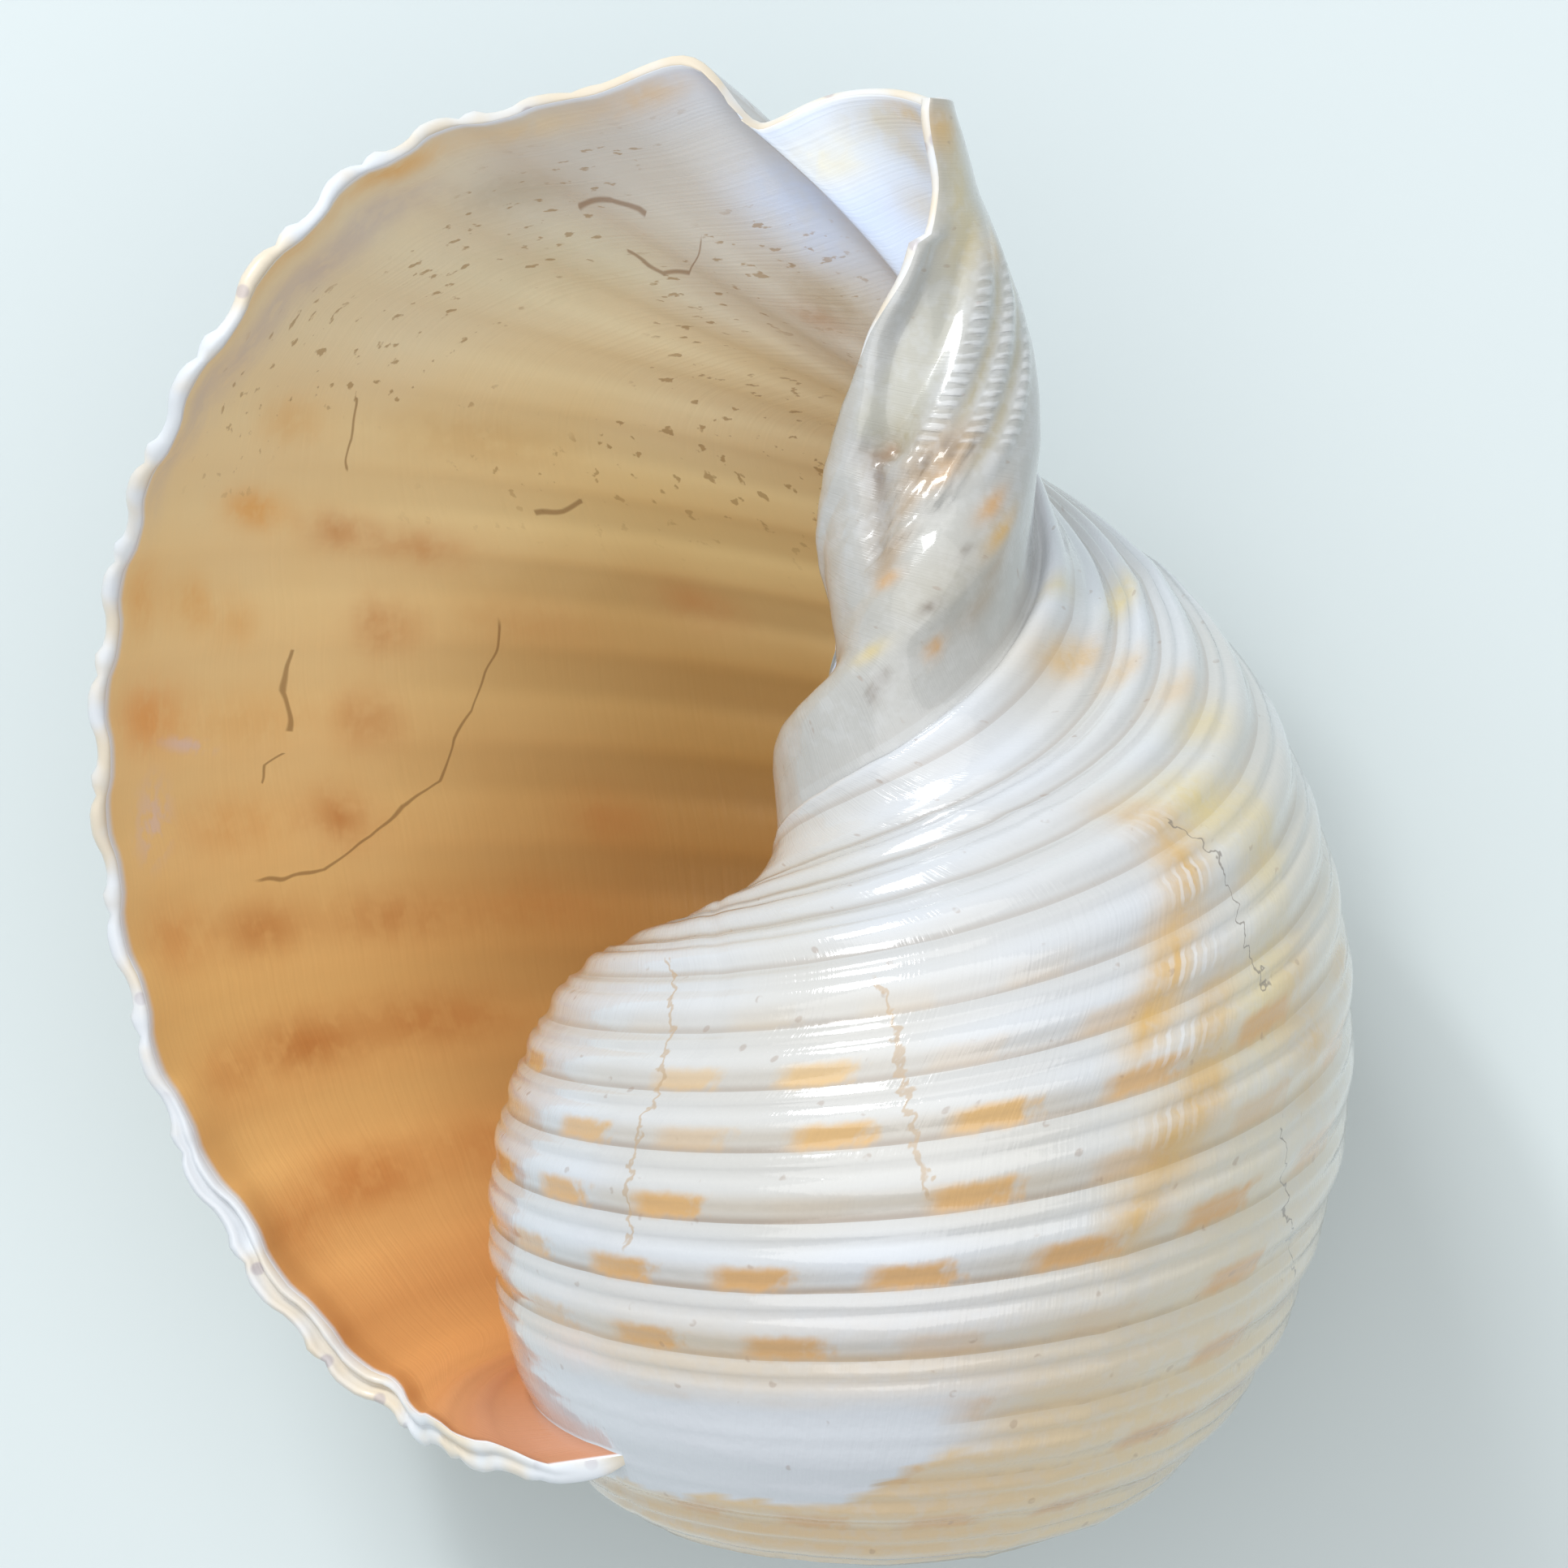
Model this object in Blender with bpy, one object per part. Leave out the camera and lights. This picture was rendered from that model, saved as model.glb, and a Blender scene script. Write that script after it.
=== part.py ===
"""Tun shell: one coiled sea shell lying on its back with the mouth up.

The wall is one sheet that grows on a logarithmic spiral. Its growing edge, the lip, is a curve
in cylinder coordinates round the coiling axis, and each earlier stage of growth is the same curve
turned back round the axis and made smaller. Lengths are metres, angles are degrees, +Z is up.
"""
import math

import bmesh
import bpy
import numpy as np
from mathutils import Matrix

# Growth of the spiral
WHORL_RATIO = 2.207          # size of one whorl over the whorl before it
SUTURE_LEAD = 60.0           # the lip's suture end stands this far ahead of the lip it lands on
CAVITY_TURN = 390.0          # how far the hollow runs back from the lip
SPIRE_TURN = 1320.0          # how far the outside of the spire runs back from the lip
CORE_START = 90.0            # how far behind the lip the solid columella begins

# The lip seen from the axis: radius, distance from the apex, turn back from the lip plane
MM = 0.001
LIP_OUTLINE = (
    (29.5 * MM, 12.6 * MM, -50.0),    # suture, moved below onto the whorl before
    (31.0 * MM, 9.7 * MM, -44.0),     # rim of the sutural channel
    (34.2 * MM, 7.8 * MM, -20.0),
    (39.5 * MM, 6.3 * MM, 4.0),       # shoulder
    (47.8 * MM, 11.6 * MM, 7.0),
    (57.7 * MM, 25.7 * MM, 6.5),
    (62.8 * MM, 39.8 * MM, 5.0),
    (65.9 * MM, 54.3 * MM, 4.0),
    (66.4 * MM, 70.4 * MM, 1.0),      # widest place
    (64.6 * MM, 84.4 * MM, -2.0),
    (60.3 * MM, 100.2 * MM, -10.0),
    (52.3 * MM, 114.3 * MM, -12.0),
    (39.8 * MM, 123.3 * MM, 3.0),     # base
    (28.8 * MM, 126.2 * MM, 28.0),
    (22.8 * MM, 129.0 * MM, 46.4),    # corner beside the siphonal notch
    (19.9 * MM, 123.4 * MM, 59.4),    # bottom of the notch
    (18.7 * MM, 125.8 * MM, 81.9),
    (11.2 * MM, 127.5 * MM, 125.0),   # back of the siphonal canal
    (4.9 * MM, 128.6 * MM, 182.0),    # tip of the columella
)
SUTURE_KNOT = 4.9            # where on the outline the next whorl lands
CORNER_KNOT = 13.6           # where the ribbed wall ends and the canal begins
NOTCH_KNOT = 15.0
FIRST_RIB_KNOTS = (0.6, 2.2) # the ribs rise over these knots beside the suture
LAST_RIB_KNOTS = (12.4, 13.6)

# Where the earlier whorl differs from a smaller copy of the lip
CORNER_DROP = 12.0 * MM      # the lip's corner stands this far in front of the wall behind it
CORNER_TURN = 120.0          # degrees of turn over which the corner grew out
CORNER_RISE = (10.4, 13.3)   # knots over which the corner stands out
CORNER_FALL = (14.3, 15.6)   # knots over which it ends
WAIST = 0.42                 # share by which the base is narrower inside the mouth
WAIST_TURNS = (190.0, 300.0)
WAIST_RISE = (11.2, 13.8)
WAIST_FALL = (16.5, 18.0)

# Wall and ribs
WALL = 1.8 * MM
LIP_WALL = 2.5 * MM          # at the lip's edge
LIP_THICKENING = 25.0        # degrees of turn over which the wall thickens
CANAL_WALL = 1.3 * MM
CANAL_WALL_KNOT = 12.6       # the wall starts to thin towards the canal here
WALL_TAPER = 0.6             # the wall thins towards the apex as growth to this power
RIB_PITCH = 11.8 * MM        # between rib crests at the lip
RIB_HEIGHT = 0.85 * MM
RIB_CREST_KNOT = 8.2         # one crest passes here, the others are counted from it
RIB_FADE = 0.35              # share of the rib height that is left on the inner face

# Mesh density
ROWS_PER_TURN = 24
CANAL_COLUMNS = 8
CORE_STEPS = 5
ARC_SAMPLES = 1801           # places along the lip at which its length is measured
LANDING_ROUNDS = 8           # the suture end is moved onto the whorl before this many times
NORMAL_KNOTS = 0.02          # distances over which the wall's direction is measured
NORMAL_TURN = 0.5

# Resting pose on the ground, and the depth of the worn flats under the ribs that touch it
PITCH = 17.3
ROLL = 3.4
FLAT_DEPTH = 0.4 * MM
WELD = 0.02 * MM

SHELL_COLOUR = (0.80, 0.71, 0.58, 1.0)
SHELL_ROUGHNESS = 0.32


def natural_spline(values):
    """Return a function that reads a natural cubic spline through evenly spaced values."""
    values = np.asarray(values, dtype=float)
    count = len(values)
    system = np.eye(count)
    right = np.zeros_like(values)
    for k in range(1, count - 1):
        system[k, k - 1:k + 2] = (1.0, 4.0, 1.0)
        right[k] = 6.0 * (values[k + 1] - 2.0 * values[k] + values[k - 1])
    bend = np.linalg.solve(system, right)

    def read(knot):
        knot = np.asarray(knot, dtype=float)
        low = np.clip(np.floor(knot).astype(int), 0, count - 2)
        u = (knot - low)[..., None]
        v = 1.0 - u
        straight = v * values[low] + u * values[low + 1]
        return straight + ((v ** 3 - v) * bend[low] + (u ** 3 - u) * bend[low + 1]) / 6.0

    return read


def growth(turn):
    """Size of the shell at a stage, as a share of its size at the lip."""
    return WHORL_RATIO ** (turn / 360.0)


def lip_curve():
    """Spline of the lip whose suture end lies exactly on the whorl before."""
    outline = np.array(LIP_OUTLINE)
    back = growth(SUTURE_LEAD - 360.0)
    for _ in range(LANDING_ROUNDS):
        landing = natural_spline(outline)(SUTURE_KNOT)
        outline[0] = (landing[0] * back, landing[1] * back, landing[2] - SUTURE_LEAD)
    return natural_spline(outline)


LIP = lip_curve()


def fade(value, start, end):
    """Smooth step from 0 at start to 1 at end."""
    u = np.clip((value - start) / (end - start), 0.0, 1.0)
    return u * u * (3.0 - 2.0 * u)


def smooth_wall(knot, turn):
    """The wall's outer face without its ribs, as x, y, z in the shell frame."""
    lip = LIP(knot)
    corner = fade(knot, *CORNER_RISE) * (1.0 - fade(knot, *CORNER_FALL))
    drop = CORNER_DROP * corner * fade(-turn, 0.0, CORNER_TURN)
    base = fade(knot, *WAIST_RISE) * (1.0 - fade(knot, *WAIST_FALL))
    waist = 1.0 - WAIST * base * fade(-turn, *WAIST_TURNS)
    size = growth(turn)
    azimuth = np.radians(lip[..., 2] - turn)
    radius = lip[..., 0] * waist * size
    along = (lip[..., 1] - drop) * size
    return np.stack([-radius * np.cos(azimuth), along, -radius * np.sin(azimuth)], axis=-1)


def outward(knot, turn):
    """Unit normal of the smooth wall, pointing out of the shell."""
    low = np.maximum(knot - NORMAL_KNOTS, 0.0)
    high = np.minimum(knot + NORMAL_KNOTS, len(LIP_OUTLINE) - 1.0)
    across = smooth_wall(high, turn) - smooth_wall(low, turn)
    along = smooth_wall(knot, turn + NORMAL_TURN) - smooth_wall(knot, turn - NORMAL_TURN)
    normal = np.cross(along, across)
    return normal / np.linalg.norm(normal, axis=-1, keepdims=True)


def arc_table():
    """Knots along the lip and the length of lip up to each of them."""
    knots = np.linspace(0.0, len(LIP_OUTLINE) - 1.0, ARC_SAMPLES)
    points = smooth_wall(knots, 0.0)
    steps = np.linalg.norm(np.diff(points, axis=0), axis=1)
    return knots, np.concatenate([[0.0], np.cumsum(steps)])


ARC_KNOTS, ARC_LENGTHS = arc_table()


def length_at(knot):
    """Length of lip from the suture to a knot."""
    return np.interp(knot, ARC_KNOTS, ARC_LENGTHS)


def knot_at(length):
    """Knot at a length of lip from the suture."""
    return np.interp(length, ARC_LENGTHS, ARC_KNOTS)


def rib(knot):
    """Height of the ribs at the lip: 1 on a crest, 0 in a groove."""
    phase = (length_at(knot) - length_at(RIB_CREST_KNOT)) / RIB_PITCH
    wave = 0.5 + 0.5 * np.cos(2.0 * math.pi * phase)
    window = fade(knot, *FIRST_RIB_KNOTS) * (1.0 - fade(knot, *LAST_RIB_KNOTS))
    return wave * window


def outer_face(knot, turn):
    """The ribbed outside of the wall."""
    height = RIB_HEIGHT * rib(knot) * growth(turn)
    return smooth_wall(knot, turn) + outward(knot, turn) * height[..., None]


def inner_face(knot, turn):
    """The inside of the wall. At the suture it runs into the whorl before."""
    body = WALL + (LIP_WALL - WALL) * fade(turn, -LIP_THICKENING, 0.0)
    thickness = body + (CANAL_WALL - body) * fade(knot, CANAL_WALL_KNOT, NOTCH_KNOT)
    thickness = thickness * growth(turn) ** WALL_TAPER
    depth = thickness - RIB_FADE * RIB_HEIGHT * rib(knot) * growth(turn)
    return smooth_wall(knot, turn) - outward(knot, turn) * depth[..., None]


def lip_columns():
    """Knots of the mesh columns: two to a rib, then the canal. Also the landing column."""
    crest = length_at(RIB_CREST_KNOT)
    half = RIB_PITCH / 2.0
    first = math.ceil((length_at(0.5) - crest) / half)
    last = math.floor((length_at(CORNER_KNOT) - crest) / half)
    ribbed = [float(knot_at(crest + k * half)) for k in range(first, last + 1)]
    landing = int(np.argmin([abs(knot - SUTURE_KNOT) for knot in ribbed]))
    ribbed[landing] = SUTURE_KNOT
    start, end = ribbed[-1], len(LIP_OUTLINE) - 1.0
    canal = [start + (end - start) * k / CANAL_COLUMNS for k in range(1, CANAL_COLUMNS + 1)]
    return np.array([0.0] + ribbed + canal), landing + 1


def cylinder_blend(start, end, share):
    """Go from start to end round the axis: radius, height and azimuth change evenly."""
    def polar(points):
        return np.hypot(points[..., 0], points[..., 2]), points[..., 1]
    (radius_a, along_a), (radius_b, along_b) = polar(start), polar(end)
    angle_a = np.arctan2(start[..., 2], start[..., 0])
    angle_b = np.arctan2(end[..., 2], end[..., 0])
    swing = (angle_b - angle_a + math.pi) % (2.0 * math.pi) - math.pi
    radius = radius_a + (radius_b - radius_a) * share
    along = along_a + (along_b - along_a) * share
    angle = angle_a + swing * share
    return np.stack([radius * np.cos(angle), along, radius * np.sin(angle)], axis=-1)


def add_patch(bm, points):
    """Add a grid of faces whose corners are points[row, column]."""
    rows, columns = points.shape[:2]
    made = bmesh.ops.create_grid(bm, x_segments=columns - 1, y_segments=rows - 1, size=1.0)
    corners = sorted(made["verts"], key=lambda v: (round(v.co.y, 5), round(v.co.x, 5)))
    for corner, point in zip(corners, points.reshape(-1, 3)):
        corner.co = point


def add_face(bm, corners):
    """Add one face."""
    bm.faces.new([bm.verts.new(corner) for corner in corners])


def add_fan(bm, ring, centre):
    """Close a ring of points with triangles to one centre."""
    middle = bm.verts.new(centre)
    corners = [bm.verts.new(point) for point in ring]
    for k, corner in enumerate(corners):
        following = corners[(k + 1) % len(corners)]
        bm.faces.new((corner, following, middle))


def shell_surface():
    """Return a bmesh with the whole closed surface of the shell, in the shell frame."""
    bm = bmesh.new()
    step = 360.0 / ROWS_PER_TURN
    columns, landing = lip_columns()
    inside = landing + 1
    shift = ROWS_PER_TURN - round(SUTURE_LEAD / step)
    depth = round(CAVITY_TURN / step)
    spire = round(SPIRE_TURN / step)
    core = round(CORE_START / step)

    def turns(first, last):
        return (np.arange(first, last + 1) * step)[:, None]

    def outer(first, last, knots):
        face = outer_face(knots[None, :] + 0.0 * turns(first, last), turns(first, last))
        if knots[0] == 0.0:
            face[:, 0] = outer_face(columns[landing:landing + 1], turns(first - shift, last - shift))[:, 0]
        return face

    def inner(first, last):
        face = inner_face(columns[None, :] + 0.0 * turns(first, last), turns(first, last))
        face[:, 0] = outer_face(columns[inside:inside + 1], turns(first - shift, last - shift))[:, 0]
        return face

    # outside of the last whorl, of the spire, and of the whorl that shows in the mouth
    add_patch(bm, outer(-shift, 0, columns))
    add_patch(bm, outer(-spire, -shift, columns[:landing + 1]))
    add_patch(bm, outer(-shift - depth, -shift, columns[inside:]))
    hollow = inner(-depth, 0)
    add_patch(bm, hollow)

    # lip, and the free edge of the siphonal canal
    add_patch(bm, np.stack([outer(0, 0, columns)[0], hollow[-1]]))
    tip_outer = outer(-shift - depth, 0, columns[-1:])[:, 0]
    tip_inner = hollow[:, -1]
    add_patch(bm, np.stack([tip_outer[-core - 1:], tip_inner[-core - 1:]]))

    # columella: its face in the hollow, its foot and its front
    shares = np.linspace(0.0, 1.0, CORE_STEPS + 1)
    start = tip_inner[:depth - core + 1]
    end = tip_outer[:depth - core + 1]
    add_patch(bm, np.stack([cylinder_blend(start, end, share) for share in shares], axis=1))
    front = np.stack([cylinder_blend(start[-1], end[-1], share) for share in shares])
    axis = front * (0.0, 1.0, 0.0)
    add_patch(bm, np.stack([front, axis]))
    add_face(bm, (tip_outer[-core - 1], tip_inner[-core - 1], axis[0]))
    foot = tip_outer[depth - core:depth - core + shift + 1][::-1]
    inner_end = axis[np.round(np.arange(shift + 1) / shift * CORE_STEPS).astype(int)]
    add_patch(bm, np.stack([foot, inner_end]))

    # end of the hollow
    last_ring = outer(-shift - depth, -shift - depth, columns[inside:])[0]
    wall_ring = hollow[0][inside:]
    add_patch(bm, np.stack([cylinder_blend(wall_ring, last_ring, share) for share in shares]))
    corner_row = np.stack([cylinder_blend(hollow[0][inside], last_ring[0], share) for share in shares])
    pocket = np.concatenate([hollow[0][:inside], corner_row[:-1]])
    add_fan(bm, pocket, pocket.mean(axis=0))

    # tip of the spire
    head = outer(-spire, -spire, columns[:landing + 1])[0]
    seam = outer(-spire, -spire + shift, columns[:1])[:, 0]
    add_fan(bm, np.concatenate([seam[:-1], head[:0:-1]]), (0.0, 0.0, 0.0))

    bmesh.ops.remove_doubles(bm, verts=bm.verts, dist=WELD)
    bmesh.ops.dissolve_degenerate(bm, edges=bm.edges, dist=WELD)
    bmesh.ops.recalc_face_normals(bm, faces=bm.faces)
    return bm


def lay_down(bm):
    """Turn the shell onto its back, wear it flat where it touches the ground, and centre it."""
    turn = Matrix.Rotation(math.radians(PITCH), 4, "X") @ Matrix.Rotation(math.radians(ROLL), 4, "Y")
    bmesh.ops.transform(bm, matrix=turn, verts=bm.verts)
    bmesh.ops.triangulate(bm, faces=bm.faces)
    ground = min(v.co.z for v in bm.verts) + FLAT_DEPTH
    everything = bm.verts[:] + bm.edges[:] + bm.faces[:]
    cut = bmesh.ops.bisect_plane(bm, geom=everything, dist=0.0, plane_co=(0.0, 0.0, ground),
                                 plane_no=(0.0, 0.0, -1.0), clear_outer=True)
    rims = [thing for thing in cut["geom_cut"] if isinstance(thing, bmesh.types.BMEdge)]
    bmesh.ops.holes_fill(bm, edges=rims, sides=0)
    corners = np.array([v.co for v in bm.verts])
    low, high = corners.min(axis=0), corners.max(axis=0)
    centre = (-(low[0] + high[0]) / 2.0, -(low[1] + high[1]) / 2.0, -low[2])
    bmesh.ops.translate(bm, verts=bm.verts, vec=centre)


def shell_material():
    """Warm cream of the shell."""
    material = bpy.data.materials.new("shell_cream")
    material.use_nodes = True
    surface = material.node_tree.nodes["Principled BSDF"]
    surface.inputs["Base Color"].default_value = SHELL_COLOUR
    surface.inputs["Roughness"].default_value = SHELL_ROUGHNESS
    surface.inputs["Metallic"].default_value = 0.0
    return material


def main():
    for thing in list(bpy.data.objects):
        bpy.data.objects.remove(thing, do_unlink=True)
    bm = shell_surface()
    lay_down(bm)
    mesh = bpy.data.meshes.new("shell")
    bm.to_mesh(mesh)
    bm.free()
    mesh.materials.append(shell_material())
    mesh.shade_smooth()
    shell = bpy.data.objects.new("shell", mesh)
    collection = bpy.data.collections.new("tun_shell")
    bpy.context.scene.collection.children.link(collection)
    collection.objects.link(shell)


main()
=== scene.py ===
"""A tun shell lying on its back on a pale table, with its mouth up.

The shell is one closed mesh. Its lip is a curve in cylinder coordinates round the coiling axis, and
every earlier stage of growth is the same curve turned back and made smaller. Lengths are metres,
turns are degrees back from the lip, and knots count along the lip from the suture to the canal.
"""
import logging
import math
from dataclasses import dataclass, field
from enum import Enum
from typing import Any, Sequence

import bmesh
import bpy
import numpy as np
from mathutils import Euler, Matrix, Vector


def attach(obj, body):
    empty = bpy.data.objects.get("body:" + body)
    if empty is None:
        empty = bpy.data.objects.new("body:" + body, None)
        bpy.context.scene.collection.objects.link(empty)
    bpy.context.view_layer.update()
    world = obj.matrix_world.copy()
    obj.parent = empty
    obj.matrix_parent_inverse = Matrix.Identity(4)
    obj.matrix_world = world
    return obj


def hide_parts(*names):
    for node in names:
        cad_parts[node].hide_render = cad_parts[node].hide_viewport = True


logging.basicConfig(level=logging.INFO, format="%(message)s")
LOG = logging.getLogger("tun_shell")

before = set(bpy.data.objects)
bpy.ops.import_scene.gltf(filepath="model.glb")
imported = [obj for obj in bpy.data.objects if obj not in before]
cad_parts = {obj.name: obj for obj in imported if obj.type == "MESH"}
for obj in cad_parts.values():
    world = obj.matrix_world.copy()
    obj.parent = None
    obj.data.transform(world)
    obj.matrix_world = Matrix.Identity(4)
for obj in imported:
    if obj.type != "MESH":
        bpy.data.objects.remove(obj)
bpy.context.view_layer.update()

MM = 0.001
FULL_TURN = 2.0 * math.pi
RIB_DRIFT = 0.0012  # ribs by which the crests drift in one degree of growth
DRIFT_START = 20.0  # turn after which the drift counts
GROWTH_UNIT = 10.0  # degrees to one unit of the growth map
Array = np.ndarray
Tint = tuple[float, float, float]
Trail = tuple[tuple[tuple[float, float], ...], float]


class Side(Enum):
    """The faces of the wall, in the order of the mesh's material slots."""

    OUTSIDE = 0
    MOUTH = 1
    LIP = 2


def fade(value: Any, start: float, end: float) -> Any:
    """Smooth step.

    Args:
        value: Number or array to read.
        start: Value that gives 0.
        end: Value that gives 1.

    Returns:
        The step, between 0 and 1.
    """
    share = np.clip((value - start) / (end - start), 0.0, 1.0)
    return share * share * (3.0 - 2.0 * share)


def bell(value: Any, middle: Any, width: float) -> Any:
    """Bell curve.

    Args:
        value: Number or array to read.
        middle: Value that gives 1.
        width: Distance from the middle at which the curve has fallen to 0.37.

    Returns:
        The height of the bell, between 0 and 1.
    """
    return np.exp(-((value - middle) / width) ** 2)


def linear(red: int, green: int, blue: int) -> Tint:
    """Turn an 8-bit display colour into the linear values that the sockets take."""
    def one(level: int) -> float:
        share = level / 255.0
        return share / 12.92 if share <= 0.04045 else ((share + 0.055) / 1.055) ** 2.4
    return one(red), one(green), one(blue)


def span(value: Any, rise: Any, top: Any, fall: Any, end: Any) -> Any:
    """Smooth plateau: 0 before rise, 1 from top to fall, 0 after end."""
    return fade(value, rise, top) * (1.0 - fade(value, fall, end))


def chink_turn(turn: Array, count: Array) -> Array:
    """Turn measured along the bent end of the neck's trough, which is deepest at rib count 10.9."""
    return turn - 42.0 * (count - 10.9) ** 2


def valley_count(turn: Array) -> Array:
    """Rib count of the valley's floor, below the trough."""
    return 11.15 - 0.021 * np.maximum(-turn - 115.0, 0.0)


class Ripples:
    """A smooth random field made of a few plane waves."""

    def __init__(self, seed: int, waves: int = 14) -> None:
        """Draw the waves.

        Args:
            seed: Seed of the random draw.
            waves: How many plane waves are added up.
        """
        draw = np.random.RandomState(seed)
        self.pull = draw.normal(size=(waves, 2))
        self.start = draw.uniform(0.0, FULL_TURN, size=waves)

    def at(self, across: Array, along: Array) -> Array:
        """Height of the field, mostly between -1 and 1.

        Args:
            across: First coordinate, about one wave to a unit.
            along: Second coordinate.

        Returns:
            Array of heights.
        """
        total = 0.0
        for (pull_a, pull_b), start in zip(self.pull, self.start):
            total = total + np.sin(FULL_TURN * (pull_a * across + pull_b * along) + start)
        return total / math.sqrt(len(self.start))


@dataclass
class Lip:
    """The growing edge of the shell, as a spline through its knots."""

    suture_lead: float = 60.0
    whorl_ratio: float = 2.207
    suture_knot: float = 4.9
    crest_knot: float = 8.2
    rib_pitch: float = 11.8 * MM
    # radius and distance from the apex in millimetres, and turn back from the lip plane
    outline: tuple[tuple[float, float, float], ...] = (
        (29.5, 12.6, -50.0), (31.0, 9.7, -44.0), (34.2, 7.8, -20.0), (39.5, 6.3, 4.0),
        (47.8, 11.6, 7.0), (57.7, 25.7, 6.5), (62.8, 39.8, 5.0), (65.9, 54.3, 4.0),
        (66.4, 70.4, 1.0), (64.6, 84.4, -2.0), (60.3, 100.2, -10.0), (52.3, 114.3, -12.0),
        (39.8, 123.3, 3.0), (28.8, 126.2, 28.0), (22.8, 129.0, 46.4), (19.9, 123.4, 59.4),
        (18.7, 125.8, 81.9), (11.2, 127.5, 125.0), (4.9, 128.6, 182.0))
    values: Array = field(init=False)
    bend: Array = field(init=False)
    arc_knots: Array = field(init=False)
    arc_lengths: Array = field(init=False)

    def __post_init__(self) -> None:
        """Move the suture end onto the whorl before, and measure the curve."""
        self.values = np.array(self.outline) * (MM, MM, 1.0)
        back = self.growth(self.suture_lead - 360.0)
        for _ in range(8):
            self.bend = self.spline_bend()
            landing = self.read(np.array(self.suture_knot))
            self.values[0] = (landing[0] * back, landing[1] * back, landing[2] - self.suture_lead)
        self.bend = self.spline_bend()
        self.arc_knots = np.linspace(0.0, self.end, 1801)
        points = self.place(self.read(self.arc_knots), 0.0)
        steps = np.linalg.norm(np.diff(points, axis=0), axis=1)
        self.arc_lengths = np.concatenate([[0.0], np.cumsum(steps)])

    @property
    def end(self) -> float:
        """The last knot, at the tip of the columella."""
        return len(self.outline) - 1.0

    def growth(self, turn: Any) -> Any:
        """Size of the shell at a stage, as a share of its size at the lip."""
        return self.whorl_ratio ** (turn / 360.0)

    def spline_bend(self) -> Array:
        """Second derivatives of the natural cubic spline through the knots."""
        count = len(self.values)
        system = np.eye(count)
        right = np.zeros_like(self.values)
        for k in range(1, count - 1):
            system[k, k - 1:k + 2] = (1.0, 4.0, 1.0)
            right[k] = 6.0 * (self.values[k + 1] - 2.0 * self.values[k] + self.values[k - 1])
        return np.linalg.solve(system, right)

    def read(self, knot: Array) -> Array:
        """Radius, distance from the apex and turn at a knot.

        Args:
            knot: Array of knots.

        Returns:
            Array with one more axis, of length 3.
        """
        low = np.clip(np.floor(knot).astype(int), 0, len(self.values) - 2)
        u = (knot - low)[..., None]
        v = 1.0 - u
        straight = v * self.values[low] + u * self.values[low + 1]
        return straight + ((v ** 3 - v) * self.bend[low] + (u ** 3 - u) * self.bend[low + 1]) / 6.0

    def place(self, polar: Array, turn: Any, size: Any = 1.0) -> Array:
        """Turn radius, distance and angle into x, y, z with the axis along y."""
        azimuth = np.radians(polar[..., 2] - turn)
        radius = polar[..., 0] * size
        across = [-radius * np.cos(azimuth), polar[..., 1] * size, -radius * np.sin(azimuth)]
        return np.stack(across, axis=-1)

    def rib_count(self, knot: Array) -> Array:
        """Ribs passed at a knot, counted along the lip: a whole number on every crest."""
        here = np.interp(knot, self.arc_knots, self.arc_lengths)
        crest = np.interp(self.crest_knot, self.arc_knots, self.arc_lengths)
        return (here - crest) / self.rib_pitch

    def phase(self, knot: Array, turn: Array) -> Array:
        """Rib count corrected for the ribs' slow drift: a whole number on every crest at every stage."""
        return self.rib_count(knot) + RIB_DRIFT * (turn + DRIFT_START)

    def knot_of_rib(self, count: Array) -> Array:
        """Knot at a rib count."""
        crest = np.interp(self.crest_knot, self.arc_knots, self.arc_lengths)
        return np.interp(crest + count * self.rib_pitch, self.arc_lengths, self.arc_knots)


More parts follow.
